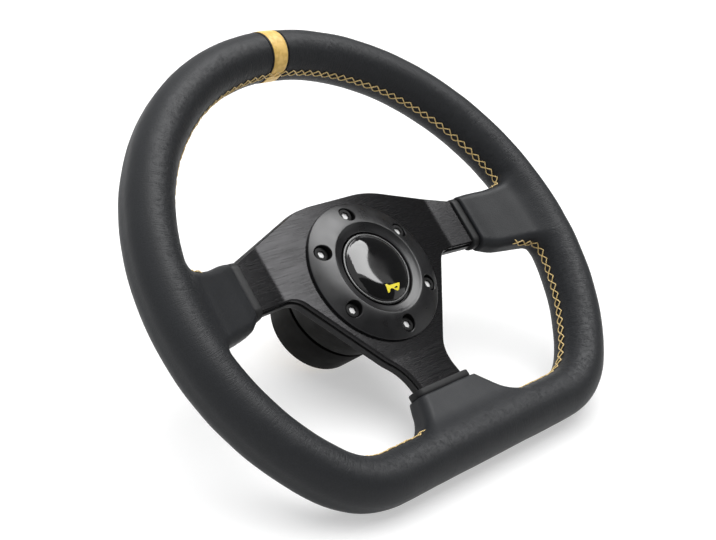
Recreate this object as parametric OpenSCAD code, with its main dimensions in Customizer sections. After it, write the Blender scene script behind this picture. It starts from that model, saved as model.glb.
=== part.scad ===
// Car steering wheel with a flat bottom, three spokes, a leather rim and a horn button.
// The steering axis runs along Y, the driver sits on the -Y side and 12 o'clock is up.
// The origin is the centre of the hub's rear seat, where the hub meets the column.

/* [Rim] */
// Centreline radius of the upper half of the rim
rim_r = 140; // [132:1:150]
// Centreline radius of the two lower sides
side_r = 131.5; // [122:0.5:139]
// Centreline radius of the two bottom corners
corner_r = 49; // [42:1:56]
// Height of the flat's centreline below the rim centre
flat_drop = 106; // [102:1:110]
// Height of the hub axis above the rim centre
rim_drop = 1; // [0:0.5:3]
// Width of the grip, from the inside of the rim to the outside
grip_w = 26; // [24:0.5:30]
// Depth of the grip, from front to back
grip_d = 31; // [29:0.5:34]
// Thickness of the leather
leather_t = 1.4; // [1:0.1:2]
// Diameter of the steel core ring
core_d = 11; // [9:0.5:13]
// Width of the marker band at 12 o'clock
band_w = 12; // [6:0.5:20]
// Thickness of the marker band
band_t = 0.4; // [0.3:0.1:0.8]
// Length of one cross stitch along the rim
stitch_pitch = 6; // [5:0.5:8]
// Width of the stitching across the rim
stitch_w = 4.6; // [3:0.2:6]
// Diameter of the stitching thread
thread_d = 0.8; // [0.6:0.1:1]

/* [Spokes] */
// Height of the rim's middle plane in front of the spoke plate's face
dish = 9.2; // [7:0.2:12]
// Thickness of the front spoke plate
plate_t = 3.2; // [2.6:0.2:4]
// Thickness of the spoke frame behind it
frame_t = 4.3; // [3.5:0.1:5.5]
// Width of the bevel round the front plate
bevel = 0.7; // [0.4:0.1:1.2]
// How far the frame stands out past the front plate
frame_lip = 0.8; // [0.4:0.1:1.5]
// Height of the plate's top edge above the axis
top_y = 47.3; // [46:0.1:52]
// Distance of the top knees from the middle
knee_x = 27; // [22:0.5:32]
// Distance from the axis at which the side sleeves begin
arm_x = 84.6; // [80:0.2:88]
// Height of a side arm's upper edge where its sleeve begins
arm_top = 27; // [24:0.5:30]
// Height of a side arm's lower edge where its sleeve begins
arm_low = -2.2; // [-4:0.2:0]
// Distance of the inner corner under a side arm from the middle
crotch_x = 58; // [55:0.5:61]
// Height of that corner
crotch_y = -0.4; // [-2:0.2:1]
// Radius that rounds this inner corner
crotch_r = 12; // [8:1:16]
// Radius that rounds the top knees
knee_r = 64; // [40:2:80]
// Width of the bottom arm
leg_w = 32; // [28:0.5:36]
// Depth at which the bottom arm becomes straight
leg_y = 58.3; // [55:0.5:62]
// Radius where the slanting edge runs into the bottom arm
leg_r = 25; // [15:1:35]
// Depth below the axis at which the bottom sleeve begins
leg_end = 71; // [69:0.5:73]
// Distance of the side arms' bend from the middle
bend_x = 66.4; // [66:0.4:69.2]
// Angle of the side arms towards the driver
arm_tilt = 3; // [1:0.5:5]
// Depth below the axis of the bottom arm's bend
bend_y = 50; // [46:0.5:51]
// Angle of the bottom arm towards the driver
leg_tilt = 13; // [10:0.5:15]
// Length of the cuff at the end of each sleeve
cuff_l = 5.6; // [4:0.2:7]
// Thickness of a cuff over the arm
cuff_t = 2.4; // [1.8:0.1:3]
// How much thicker the sleeve is than its cuff
hem_t = 1.5; // [1:0.1:2.2]

/* [Horn ring and bolts] */
// Distance of the bolt circle from the flange of the button's housing
bolt_gap = 6.5; // [6:0.1:7]
// Number of bolts
bolt_count = 6; // [4:1:6]
// Diameter of a bolt's shank
bolt_d = 5; // [4:0.5:5.5]
// Diameter of a bolt's head
head_d = 8.6; // [8:0.1:9]
// Height of a bolt's head
head_h = 2.2; // [1.8:0.1:2.4]
// Diameter of the sink round a bolt's head
sink_d = 9.6; // [9.4:0.1:10]
// Height of the bolts' seat above the spoke plate
seat_h = 0.6; // [0.4:0.1:0.8]
// Size of the hexagon socket across its flats
socket_af = 4; // [3:0.5:4.5]
// Depth of the hexagon socket
socket_l = 1.2; // [1:0.1:1.6]
// Distance of the ring's outer edge from the bolt circle
ring_edge = 7.6; // [6.6:0.1:10]
// Distance of the ring's crest from the edge of its opening
crest_w = 5.2; // [4.6:0.1:6]
// Height of the crest above the spoke plate
crest_h = 6.3; // [5.8:0.1:7]
// Height of the ring's outer edge above the spoke plate
edge_h = 1.5; // [1:0.1:2.5]
// Gap between the cap and the edge of its opening in the ring
mouth_gap = 1; // [0.7:0.1:1.3]
// Height of the lip of that opening above the spoke plate
lip_h = 4.4; // [4:0.1:5]

/* [Horn button] */
// Diameter of the moving cap
cap_d = 44; // [43:0.1:44.4]
// Width of the cap's edge round the glossy dome
cap_rim = 1.6; // [1.3:0.1:3]
// Height of the dome above its edge
dome_h = 2.8; // [2:0.1:4]
// Travel of the button
travel = 2.5; // [1.5:0.1:3]
// Diameter of the guide post under the cap
post_d = 8; // [6:0.5:9]
// Running clearance round the guide post
post_clear = 0.05; // [0.03:0.01:0.08]
// Gap between the cap and the wall of its housing
cap_gap = 0.6; // [0.5:0.1:0.9]
// Width of the housing's flange under the ring
lip_w = 3.9; // [3:0.1:4.1]
// Depth of the button housing behind the spoke plate's face
housing_l = 17; // [15.5:0.5:18]
// Wall of the housing
housing_t = 2; // [1.6:0.1:2.2]
// Diameter of the spring's wire
wire_d = 1; // [0.8:0.1:1.3]
// Number of turns of the spring
spring_turns = 4; // [3:1:5]

/* [Hub] */
// Length of the hub from its rear seat to its flange face
hub_l = 56.8; // [54:0.2:62]
// Diameter of the column bore
bore_d = 17.5; // [16:0.5:19]
// Length of the column bore
bore_l = 18; // [15:0.5:20]
// Diameter of the chamber for the column nut
nut_d = 32; // [30:0.5:34]
// Distance of the hub flange's edge from the bolt circle
flange_edge = 3.5; // [3.2:0.1:3.7]
// Thickness of the flange
flange_t = 6; // [5:0.5:8]
// Diameter of the hub's rear part
hub_d = 52; // [49:0.5:53]
// Diameter of the collar at its rear end
collar_d0 = 59.4; // [58:0.2:62]
// Diameter of the collar at its front end
collar_d1 = 66; // [64:0.2:67]
// Length of the collar
collar_l = 24.2; // [20:0.2:28]
// How far the front cover stands out beyond the hub's flange
cover_edge = 4; // [3.5:0.1:5.5]
// Wall of the cover and the collar
cover_t = 1.6; // [1.4:0.1:1.8]
// Gap between the collar and the front cover
groove = 1; // [0.6:0.1:1.6]

/* [Hidden] */
$fn = 64;

// Clearance between pieces that are laid or slid together
fit = 0.1;
// Play of the bolts in the spoke plates and in the ring
bolt_play = 0.5;
// Gap left between the horn contacts when the button is pressed home
contact_gap = 0.1;
// Overshoot of a cutting tool
eps = 0.5;
// Lap of the rim's arcs over each other, and how much slimmer every other one is
lap = 0.2;
seam = 0.02;

// Levels along the steering axis, counted from the hub's rear seat
frame_z = hub_l;
plate_z = frame_z + frame_t;
face_z = plate_z + plate_t;
rim_z = face_z + dish;
stack_t = frame_t + plate_t;

// Centres of the arcs of the rim's centreline
side_x = rim_r - side_r;
corner_y = -rim_drop - flat_drop + corner_r;
side_turn = asin((flat_drop - corner_r) / (side_r - corner_r));
corner_x = side_x + (side_r - corner_r) * cos(side_turn);
flat_y = -rim_drop - flat_drop;

// Where the arms end inside the sleeves
arm_in = arm_x + cuff_l + 2;
leg_in = leg_end + 10;
// Lap, width, thickness and lower edge of the narrow tongues that go on to the core ring
tongue_lap = 3;
tongue_t = frame_t - 0.8;
tongue_w = 20;
tongue_y = 1;

// Radius of the sleeves' and of the cuffs' edges
sleeve_r = 5;
cuff_r = 4;
// Distances of the sleeves' ends from the rim's centreline
sleeve_in = 6.8;
leg_sleeve_in = 8.8;
// Depth of the cuffs' back behind the rim's middle plane, and length of the bottom cuff
cuff_back = 18.5;
leg_cuff_l = cuff_l - 1.4;

// Lower runs of stitching: lengths of the inner line and where the stitches begin and end
run_side = (side_r - grip_w / 2) * side_turn * PI / 180;
run_corner = (corner_r - grip_w / 2) * (90 - side_turn) * PI / 180;
run_from = 26;
run_end = 29;
run_to = run_side + run_corner + corner_x - leg_w / 2 - run_end;
// Angle above 3 o'clock where the upper stitches begin
top_run_from = 15;

// Width of the chamfer at a bolt's sink, and tip of the bolts
sink_edge = 0.6;
bolt_tip = hub_l - flange_t;

// Sizes of the button, the ring and the hub's front, from the cap outwards
tube_r = cap_d / 2 + cap_gap + housing_t;
dome_d = cap_d - 2 * cap_rim;
mouth_d = cap_d + 2 * mouth_gap;
crest_d = mouth_d + 2 * crest_w;
lip_d = 2 * (tube_r + lip_w);
bolt_pcd = lip_d + 2 * bolt_gap;
ring_d = bolt_pcd + 2 * ring_edge;
flange_d = bolt_pcd + 2 * flange_edge;
cover_d = flange_d + 2 * cover_edge;
// Thickness of the housing's flange, and distance of the horn sign from the dome's edge
lip_t = 1.4;
sign_in = 6.4;

// Levels of the housing and the cap, counted from the hub's rear seat
floor_low = face_z - housing_l;
floor_z = floor_low + housing_t;
deck_h = 1.1;
deck_z = face_z + deck_h;
deck_t = 1.5;
dome_lift = 0.2;
cap_top = face_z + lip_h - dome_lift;
dome_z = face_z + lip_h + dome_lift;
skirt_t = 1.5;
skirt_l = 8;
skirt_low = face_z - skirt_l;

// Spring, contacts, clip and terminals round the guide post
ring_gap = 3;
spring_r = post_d / 2 + ring_gap;
contact_r0 = spring_r + ring_gap;
contact_w = 4;
contact_r1 = contact_r0 + contact_w;
contact_t = 0.8;
tube_low = floor_z + travel + contact_gap + 2 * contact_t;
clip_t = 0.8;
clip_w = 2;
clip_r = post_d / 2 + clip_w;
clip_in = 0.8;
clip_gap = 0.3;
clip_z = floor_low - clip_gap - clip_t;
post_end = 1.5;
post_low = clip_z - post_end;
live_r = contact_r0 + contact_w / 2;
earth_r = spring_r;
tab_w = 6.3;
tab_t = 0.8;
tab_l = 8;

// Rear of the hub: seat, carrier and slip ring, counted from the rear seat
seat_w = 7.45;
seat_r = bore_d / 2 + seat_w;
carrier_l = 5;
carrier_z = 0.4;
slip_in = 3.3;
slip_r0 = seat_r + slip_in;
slip_out = 1.5;
slip_r1 = hub_d / 2 - slip_out;
slip_z = 0.2;
slip_t = 1.3;
// Front chamber of the hub, and the inner edge of the cover
chamber_in = 3.3;
chamber_z = floor_low - chamber_in;
cover_z = collar_l + groove;
cover_in = 0.2;
cover_r0 = collar_d1 / 2 + cover_in;
collar_web = 7;

// Turns a shape drawn round Z, front side up, to its place round Y
module facing() {
    rotate([90, 0, 0]) children();
}

// Both sides of the wheel
module both_sides() {
    children();
    mirror([1, 0, 0]) children();
}

// Carries two sections along the centreline of the rim, with +X of a section outwards.
// The first takes the top and the corners. The second is a hair slimmer, takes the sides
// and the flat, and runs a little way into its neighbours.
module along_rim() {
    more = lap / side_r * 180 / PI;
    translate([0, -rim_drop, rim_z])
        rotate_extrude(angle = 180, $fn = 96) translate([rim_r, 0]) children(0);
    both_sides() {
        translate([side_x, -rim_drop, rim_z]) rotate([0, 0, -side_turn - more])
            rotate_extrude(angle = side_turn + 2 * more, $fn = 96)
                translate([side_r, 0]) children(1);
        translate([corner_x, corner_y, rim_z]) rotate([0, 0, -90])
            rotate_extrude(angle = 90 - side_turn, $fn = 96) translate([corner_r, 0]) children(0);
    }
    translate([-corner_x - lap, flat_y, rim_z]) rotate([90, 0, 90])
        linear_extrude(2 * (corner_x + lap)) mirror([1, 0]) children(1);
}

// Solid of the whole grip
module rim_solid() {
    along_rim() {
        grip();
        grip(seam);
    }
}

// Core ring in its true size
module core_solid() {
    along_rim() {
        circle(core_d / 2, $fn = 32);
        circle(core_d / 2 - seam, $fn = 32);
    }
}

// Section of the grip, less a wall all round
module grip(less = 0) {
    r = grip_w / 2 - less;
    shift = (grip_d - grip_w) / 2;
    translate([0, shift]) circle(r, $fn = 32);
    translate([0, -shift]) circle(r, $fn = 32);
    translate([-r, -shift]) square([2 * r, 2 * shift]);
}

// Vector turned by an angle
function turned(v, a) = [v.x * cos(a) - v.y * sin(a), v.x * sin(a) + v.y * cos(a)];

// Edge from p to q, as a point and a direction, moved to its right by d
function edge(p, q, d) = let (u = (q - p) / norm(q - p)) [p + d * [u.y, -u.x], u];

// Point where two edges meet
function corner(e, f) = e[0] + e[1] * cross(f[0] - e[0], f[1]) / cross(e[1], f[1]);

// Points of the arc that rounds the corner between two edges
function fillet(e, f, r, n) = let (
    a = atan2(cross(e[1], f[1]), e[1] * f[1]),
    s = corner(e, f) - e[1] * r * tan(abs(a) / 2),
    m = s + sign(a) * r * [-e[1].y, e[1].x]
) [for (i = [0:n]) m + turned(s - m, a * i / n)];

// Right half of the spokes' outline, moved outwards by g, anticlockwise from the bottom.
// It has points on the lines where the sheet is bent.
function half_outline(g) = let (
    leg = edge([leg_w / 2, -leg_in], [leg_w / 2, -leg_y], g),
    slant = edge([leg_w / 2, -leg_y], [crotch_x, crotch_y], g),
    low = edge([crotch_x, crotch_y], [arm_x, arm_low], g),
    tip = [[arm_in, 0], [0, 1]],
    high = edge([arm_x, arm_top], [knee_x, top_y], g),
    top = edge([knee_x, top_y], [0, top_y], g),
    leg_bend = [[0, -bend_y], [1, 0]],
    arm_bend = [[bend_x, 0], [0, 1]]
) concat(
    [leg[0]],
    fillet(leg, slant, leg_r - g, 6),
    [corner(slant, leg_bend)],
    fillet(slant, low, crotch_r - g, 8),
    [corner(low, arm_bend), corner(low, tip), corner(high, tip), corner(high, arm_bend)],
    fillet(high, top, knee_r + g, 6)
);

// Outline of all three spokes, moved outwards by g
function outline(g) = let (h = half_outline(g), n = len(h) - 1)
    concat(h, [for (i = [n:-1:0]) [-h[i].x, h[i].y]]);

// Places in the outline of its points on the bends and at the arms' ends
leg_fold = 8;
arm_fold = leg_fold + 10;
arm_fold_high = arm_fold + 3;
half_n = 29;

// How far the bent sheet has risen towards the driver
function rise(x, y) = max(0, abs(x) - bend_x) * tan(arm_tilt) + max(0, -y - bend_y) * tan(leg_tilt);

// Points of an outline laid on the bent sheet at a level
function ring(points, z) = [for (p = points) [p.x, p.y, z + rise(p.x, p.y)]];

// Triangles from a middle point to the rim of a region, facing up or down
function fan(rim, mid, up) = [for (i = [0:len(rim) - 1]) let (j = (i + 1) % len(rim))
    up ? [rim[j], rim[i], mid] : [rim[i], rim[j], mid]];

// The four flat regions of one side of the sheet
function regions(first, mid, up) = let (
    last = 2 * half_n - 1,
    body = concat(
        [for (i = [leg_fold:arm_fold]) i],
        [for (i = [arm_fold_high:last - arm_fold_high]) i],
        [for (i = [last - arm_fold:last - leg_fold]) i]
    ),
    leg = concat([for (i = [last - leg_fold:last]) i], [for (i = [0:leg_fold]) i]),
    arm = [for (i = [arm_fold:arm_fold_high]) i],
    other = [for (i = [last - arm_fold_high:last - arm_fold]) i]
) concat(
    fan([for (i = body) first + i], mid, up),
    fan([for (i = leg) first + i], mid + 1, up),
    fan([for (i = arm) first + i], mid + 2, up),
    fan([for (i = other) first + i], mid + 3, up)
);

// Sheet of the three spokes, bent at its arms, with a bevel round its front edge
module bent_sheet(z, t, g, cut = 0) {
    n = 2 * half_n;
    rows = cut > 0 ? 2 : 1;
    mids = [
        [0, (arm_top + arm_low) / 2], [0, -(bend_y + leg_in) / 2],
        [(bend_x + arm_in) / 2, arm_top / 2], [-(bend_x + arm_in) / 2, arm_top / 2]
    ];
    points = concat(
        ring(outline(g), z),
        ring(outline(g), z + t - cut),
        cut > 0 ? ring(outline(g - cut), z + t) : [],
        ring(mids, z),
        ring(mids, z + t)
    );
    faces = concat(
        regions(0, (rows + 1) * n, false),
        regions(rows * n, (rows + 1) * n + len(mids), true),
        [for (k = [0:rows - 1], i = [0:n - 1]) [k * n + i, k * n + n + i, k * n + (i + 1) % n]],
        [for (k = [0:rows - 1], i = [0:n - 1])
            [k * n + n + i, k * n + n + (i + 1) % n, k * n + (i + 1) % n]]
    );
    polyhedron(points, faces, convexity = 6);
}

// Profile drawn over X and Z, carried across from y0 to y1
module across(y0, y1) {
    translate([0, y1, 0]) rotate([90, 0, 0]) linear_extrude(y1 - y0) children();
}

// Profile drawn over Y and Z, carried sideways from x0 to x1
module sideways(x0, x1) {
    translate([x0, 0, 0]) rotate([90, 0, 90]) linear_extrude(x1 - x0) children();
}

// Inner ends of the frame, which run through the sleeves to the core ring
module tongues(g = 0) {
    x1 = arm_in - tongue_lap;
    x2 = rim_r - core_d / 4;
    z1 = frame_z + frame_t / 2 + rise(x1, 0);
    y1 = leg_in - tongue_lap;
    y2 = -flat_y - core_d / 4;
    half = tongue_t / 2 + g;
    both_sides() across(tongue_y - g, tongue_y + tongue_w + g) polygon([
        [x1, z1 - half], [x2, rim_z - half], [x2, rim_z + half], [x1, z1 + half]
    ]);
    sideways(-tongue_w / 2 - g, tongue_w / 2 + g) polygon([
        [-y1, frame_z + frame_t / 2 + rise(0, -y1) - half],
        [-y1, frame_z + frame_t / 2 + rise(0, -y1) + half],
        [-y2, frame_z + frame_t / 2 + rise(0, -y2) + half],
        [-y2, frame_z + frame_t / 2 + rise(0, -y2) - half]
    ]);
}

// Room for the spokes inside the sleeves and the cuffs
module spoke_slot() {
    bent_sheet(frame_z - fit, frame_t + 2 * fit, frame_lip + fit);
    bent_sheet(frame_z, stack_t + fit, fit);
    tongues(fit);
}

// Steel ring inside the rim
module rim_core() {
    color([0.36, 0.37, 0.39]) facing() core_solid();
}

// Foam between the core ring and the leather
module rim_padding() {
    color([0.2, 0.2, 0.21]) facing() difference() {
        along_rim() {
            difference() {
                grip(leather_t);
                circle(core_d / 2, $fn = 32);
            }
            difference() {
                grip(leather_t + seam);
                circle(core_d / 2 + seam, $fn = 32);
            }
        }
        tongues(fit);
    }
}

// Leather round the rim
module rim_leather() {
    color([0.07, 0.07, 0.075]) facing() difference() {
        along_rim() {
            difference() {
                grip();
                grip(leather_t);
            }
            difference() {
                grip(seam);
                grip(leather_t - seam);
            }
        }
        tongues(fit);
    }
}

// Marker band over the leather at 12 o'clock
module centre_band() {
    turn = band_w / rim_r * 180 / PI;
    color([0.78, 0.7, 0.3]) facing() translate([0, -rim_drop, rim_z]) rotate([0, 0, 90 - turn / 2])
        rotate_extrude(angle = turn, $fn = 96) translate([rim_r, 0]) difference() {
            grip(-band_t);
            grip();
        }
}

// One cross of thread, lying on a face that looks along -X
module cross_stitch() {
    long = stitch_pitch - 2 * thread_d;
    for (m = [-1, 1]) translate([-thread_d / 2 - fit, 0, 0]) rotate([m * atan2(long, stitch_w), 0, 0])
        cylinder(h = norm([long, stitch_w]), d = thread_d, center = true, $fn = 4);
}

// Place at a distance along the inner line of the right lower half, from 3 o'clock down
module on_lower_run(s) {
    if (s < run_side)
        translate([side_x, -rim_drop, rim_z]) rotate([0, 0, -side_turn * s / run_side])
            translate([side_r - grip_w / 2, 0, 0]) children();
    else if (s < run_side + run_corner)
        translate([corner_x, corner_y, rim_z])
            rotate([0, 0, -side_turn - (90 - side_turn) * (s - run_side) / run_corner])
                translate([corner_r - grip_w / 2, 0, 0]) children();
    else
        translate([corner_x - (s - run_side - run_corner), flat_y + grip_w / 2, rim_z])
            rotate([0, 0, -90]) children();
}

// Stitching of the upper run, over the band as well
module stitching_top() {
    inner = rim_r - grip_w / 2;
    step = stitch_pitch / inner * 180 / PI;
    n = floor((90 - top_run_from) / step);
    color([0.75, 0.65, 0.4]) facing() translate([0, -rim_drop, rim_z]) for (i = [-n:n])
        rotate([0, 0, 90 + i * step])
            translate([inner - (abs(i) * stitch_pitch < band_w / 2 + stitch_pitch ? band_t : 0), 0, 0])
                cross_stitch();
}

// Stitching of the right lower run
module lower_stitching() {
    for (s = [run_from:stitch_pitch:run_to]) on_lower_run(s) cross_stitch();
}

module stitching_right() {
    color([0.75, 0.65, 0.4]) facing() lower_stitching();
}

module stitching_left() {
    color([0.75, 0.65, 0.4]) facing() mirror([1, 0, 0]) lower_stitching();
}

// Rounded block between two corners
module rounded_block(low, high, r) {
    sideways(low.x, high.x) {
        translate([low.y + r, low.z]) square([high.y - low.y - 2 * r, high.z - low.z]);
        translate([low.y, low.z + r]) square([high.y - low.y, high.z - low.z - 2 * r]);
        for (y = [low.y + r, high.y - r], z = [low.z + r, high.z - r]) translate([y, z]) circle(r);
    }
}

// Rounded section of a sleeve, given as its distance, span across and span along the axis
module section(s) {
    for (y = [s[1] + sleeve_r, s[2] - sleeve_r], z = [s[3] + sleeve_r, s[4] - sleeve_r])
        translate([s[0], y, rim_z + z]) rotate([0, 90, 0])
            cylinder(h = 0.1, r = sleeve_r, $fn = 16);
}

// Sleeve laid through its sections, cut to lie on the rim and round the spokes
module sleeve(sections, turn = 0) {
    difference() {
        rotate([0, 0, turn]) for (i = [0:len(sections) - 2]) hull() {
            section(sections[i]);
            section(sections[i + 1]);
        }
        rim_solid();
        spoke_slot();
    }
}

// Sleeve of a side arm, which grows into the rim
module side_sleeve() {
    x = arm_x + cuff_l;
    l = rim_r - sleeve_in - x;
    sleeve([
        [x, arm_low - 4.2, arm_top + 1.4, -cuff_back + 0.4, cuff_t + hem_t - dish],
        [x + 0.16 * l, arm_low - 9, arm_top + 0.4, -16, -2],
        [x + 0.42 * l, arm_low - 11.6, arm_top - 2, -13.8, 2],
        [x + 0.65 * l, arm_low - 13.8, arm_top - 2.6, -11.5, 6],
        [x + 0.86 * l, arm_low - 16.4, arm_top - 1, -10, 9],
        [x + l, arm_low - 20, arm_top + 4, -11, 11]
    ]);
}

module sleeve_right() {
    color([0.07, 0.07, 0.075]) facing() side_sleeve();
}

module sleeve_left() {
    color([0.07, 0.07, 0.075]) facing() mirror([1, 0, 0]) side_sleeve();
}

// Sleeve of the bottom arm
module sleeve_bottom() {
    y = leg_end + leg_cuff_l;
    l = -flat_y - leg_sleeve_in - y;
    w = leg_w / 2;
    color([0.07, 0.07, 0.075]) facing() sleeve([
        [y, -w - 7, w + 7, -15, -0.8],
        [y + 0.21 * l, -w - 10, w + 10, -14, 1.5],
        [y + 0.47 * l, -w - 13.5, w + 13.5, -12, 4],
        [y + 0.73 * l, -w - 19, w + 19, -11, 6.5],
        [y + l, -w - 26, w + 26, -11, 9.5]
    ], -90);
}

// Cuff round the end of a side arm
module side_cuff() {
    difference() {
        rounded_block(
            [arm_x, arm_low - 2.6, rim_z - cuff_back],
            [arm_x + cuff_l, arm_top + 1.2, face_z + cuff_t + 1],
            cuff_r
        );
        spoke_slot();
    }
}

module cuff_right() {
    color([0.06, 0.06, 0.065]) facing() side_cuff();
}

module cuff_left() {
    color([0.06, 0.06, 0.065]) facing() mirror([1, 0, 0]) side_cuff();
}

// Cuff round the end of the bottom arm
module cuff_bottom() {
    w = leg_w / 2 + 5;
    color([0.06, 0.06, 0.065]) facing() difference() {
        rotate([0, 0, -90]) rounded_block(
            [leg_end, -w, rim_z - 14.5], [leg_end + leg_cuff_l, w, rim_z - 2.2], cuff_r
        );
        spoke_slot();
    }
}

// Calls its children at each place of the bolt circle, with +X outwards
module at_bolts() {
    for (i = [0:bolt_count - 1]) rotate([0, 0, 90 + i * 360 / bolt_count])
        translate([bolt_pcd / 2, 0, 0]) children();
}

// Brushed front plate of the spokes, with a bevelled edge
module spoke_plate() {
    color([0.6, 0.61, 0.62]) facing() difference() {
        bent_sheet(plate_z, plate_t, 0, bevel);
        translate([0, 0, frame_z]) cylinder(h = stack_t + eps, r = tube_r + fit);
        at_bolts() translate([0, 0, frame_z])
            cylinder(h = stack_t + eps, d = bolt_d + bolt_play);
    }
}

// Load bearing frame behind the plate, welded to the core ring
module spoke_frame() {
    color([0.3, 0.31, 0.32]) facing() difference() {
        union() {
            bent_sheet(frame_z, frame_t, frame_lip);
            tongues();
        }
        translate([0, 0, frame_z - eps]) cylinder(h = stack_t, r = tube_r + fit);
        at_bolts() translate([0, 0, frame_z - eps])
            cylinder(h = stack_t, d = bolt_d + bolt_play);
        core_solid();
    }
}

// Height of the horn ring's top over the plate, at a radius outside the crest
function ring_top(r) = let (u = (r - crest_d / 2) / (ring_d / 2 - crest_d / 2))
    crest_h - (crest_h - edge_h) * pow(u, 1.5);

// Bulging ring round the horn button, with sinks for the bolts
module horn_ring() {
    crest = crest_d / 2;
    outer = ring_d / 2;
    mouth = mouth_d / 2;
    r = bolt_pcd / 2;
    slope = atan(ring_top(r - 1) - ring_top(r + 1)) / 2;
    color([0.16, 0.16, 0.17]) facing() translate([0, 0, face_z]) difference() {
        rotate_extrude($fn = 96) polygon(concat(
            [[lip_d / 2 + fit, 0], [outer, 0]],
            [for (i = [12:-1:0]) let (q = crest + (outer - crest) * i / 12) [q, ring_top(q)]],
            [[crest - 1.4, crest_h - 0.8], [crest - 3, lip_h + 0.5], [mouth + 0.5, lip_h],
             [mouth, lip_h - 0.5], [mouth, lip_t + fit], [lip_d / 2 + fit, lip_t + fit]]
        ));
        at_bolts() {
            translate([0, 0, -eps]) cylinder(h = crest_h, d = bolt_d + bolt_play);
            translate([0, 0, seat_h]) cylinder(h = crest_h, d = sink_d);
            translate([0, 0, ring_top(r)]) rotate([0, slope, 0]) translate([0, 0, -sink_edge])
                cylinder(h = 2 * sink_edge, d1 = sink_d, d2 = sink_d + 4 * sink_edge);
        }
    }
}

// Six low socket bolts that hold the ring and the spokes on the hub
module ring_bolts() {
    color([0.12, 0.12, 0.13]) facing() at_bolts() difference() {
        union() {
            translate([0, 0, face_z + seat_h]) cylinder(h = head_h, d = head_d);
            translate([0, 0, bolt_tip]) cylinder(h = face_z + seat_h - bolt_tip + eps, d = bolt_d);
        }
        translate([0, 0, face_z + seat_h + head_h - socket_l])
            cylinder(h = socket_l + eps, d = socket_af / cos(30), $fn = 6);
    }
}

// Housing that hangs in the hub and guides the button
module button_housing() {
    color([0.1, 0.1, 0.11]) facing() difference() {
        rotate_extrude() polygon([
            [post_d / 2 + post_clear, floor_low], [tube_r, floor_low], [tube_r, face_z],
            [lip_d / 2, face_z], [lip_d / 2, face_z + lip_t], [tube_r - housing_t, face_z + lip_t],
            [tube_r - housing_t, floor_z], [post_d / 2 + post_clear, floor_z]
        ]);
        terminal(live_r, fit);
        mirror([1, 0, 0]) terminal(earth_r, fit);
    }
}

// Flat terminal tab through the housing's floor, at a distance from the axis, or its slot with
// a gap g round it and over its end
module terminal(r, g = 0) {
    translate([r - tab_t / 2 - g, -tab_w / 2 - g, floor_low - tab_l])
        cube([tab_t + 2 * g, tab_w + 2 * g, tab_l + housing_t + g]);
}

module terminal_live() {
    color([0.78, 0.68, 0.42]) facing() terminal(live_r);
}

module terminal_earth() {
    color([0.78, 0.68, 0.42]) facing() mirror([1, 0, 0]) terminal(earth_r);
}

// Moving cap with its skirt, contact tube and guide post
module button_cap() {
    r = cap_d / 2;
    post = post_d / 2;
    color([0.11, 0.11, 0.12]) facing() rotate_extrude() polygon([
        [0, post_low], [post - 0.5, post_low], [post, post_low + 0.5], [post, clip_z - fit],
        [post - clip_in, clip_z - fit], [post - clip_in, clip_z + clip_t + fit],
        [post, clip_z + clip_t + fit], [post, deck_z], [contact_r0, deck_z],
        [contact_r0, tube_low], [contact_r1, tube_low], [contact_r1, deck_z],
        [r - skirt_t, deck_z], [r - skirt_t, skirt_low], [r, skirt_low],
        [r, cap_top - 0.5], [r - 0.5, cap_top], [dome_d / 2 + fit, cap_top],
        [dome_d / 2 + fit, deck_z + deck_t], [0, deck_z + deck_t]
    ]);
}

// Outline of the horn sign, pocket and inlay alike
module horn_shape() {
    translate([0, sign_in - dome_d / 2]) difference() {
        polygon([
            [-4.3, -2], [-3.2, -2], [-1.9, -0.4], [-0.4, -0.2], [1.2, -1.6], [3.1, -2.5],
            [4.1, -2.3], [6.7, 1.1], [6.2, 1.5], [-1.6, 1.7], [-3.1, 3], [-4, 2.8]
        ]);
        polygon([[0.9, -0.3], [1.7, -0.9], [3.4, -1], [4.1, -0.3], [3.3, 0.2]]);
    }
}

// Solid of the glossy dome without its inlay
module dome_body() {
    r = dome_d / 2;
    color([0.05, 0.05, 0.055]) rotate_extrude($fn = 96) polygon(concat(
        [[0, deck_z + deck_t], [r, deck_z + deck_t], [r, dome_z - 0.4]],
        [for (i = [12:-1:0]) let (u = i / 12) [(r - 0.3) * u, dome_z + dome_h * (1 - u * u)]]
    ));
}

// Glossy dome set in the cap
module button_dome() {
    color([0.04, 0.04, 0.045]) facing() difference() {
        dome_body();
        translate([0, 0, dome_z]) linear_extrude(dome_h) horn_shape();
    }
}

// Yellow horn sign let into the dome
module horn_symbol() {
    color([0.9, 0.85, 0.35]) facing() intersection() {
        dome_body();
        translate([0, 0, dome_z]) linear_extrude(dome_h) horn_shape();
    }
}

// Contact ring at the end of the cap's contact tube
module contact_disc() {
    color([0.78, 0.62, 0.3]) facing() translate([0, 0, tube_low - contact_t]) difference() {
        cylinder(h = contact_t, r = contact_r1);
        translate([0, 0, -eps]) cylinder(h = contact_t + 2 * eps, r = contact_r0);
    }
}

// Fixed contact ring on the housing's floor
module contact_ring() {
    color([0.78, 0.62, 0.3]) facing() translate([0, 0, floor_z]) difference() {
        cylinder(h = contact_t, r = contact_r1);
        translate([0, 0, -eps]) cylinder(h = contact_t + 2 * eps, r = contact_r0);
    }
}

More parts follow.
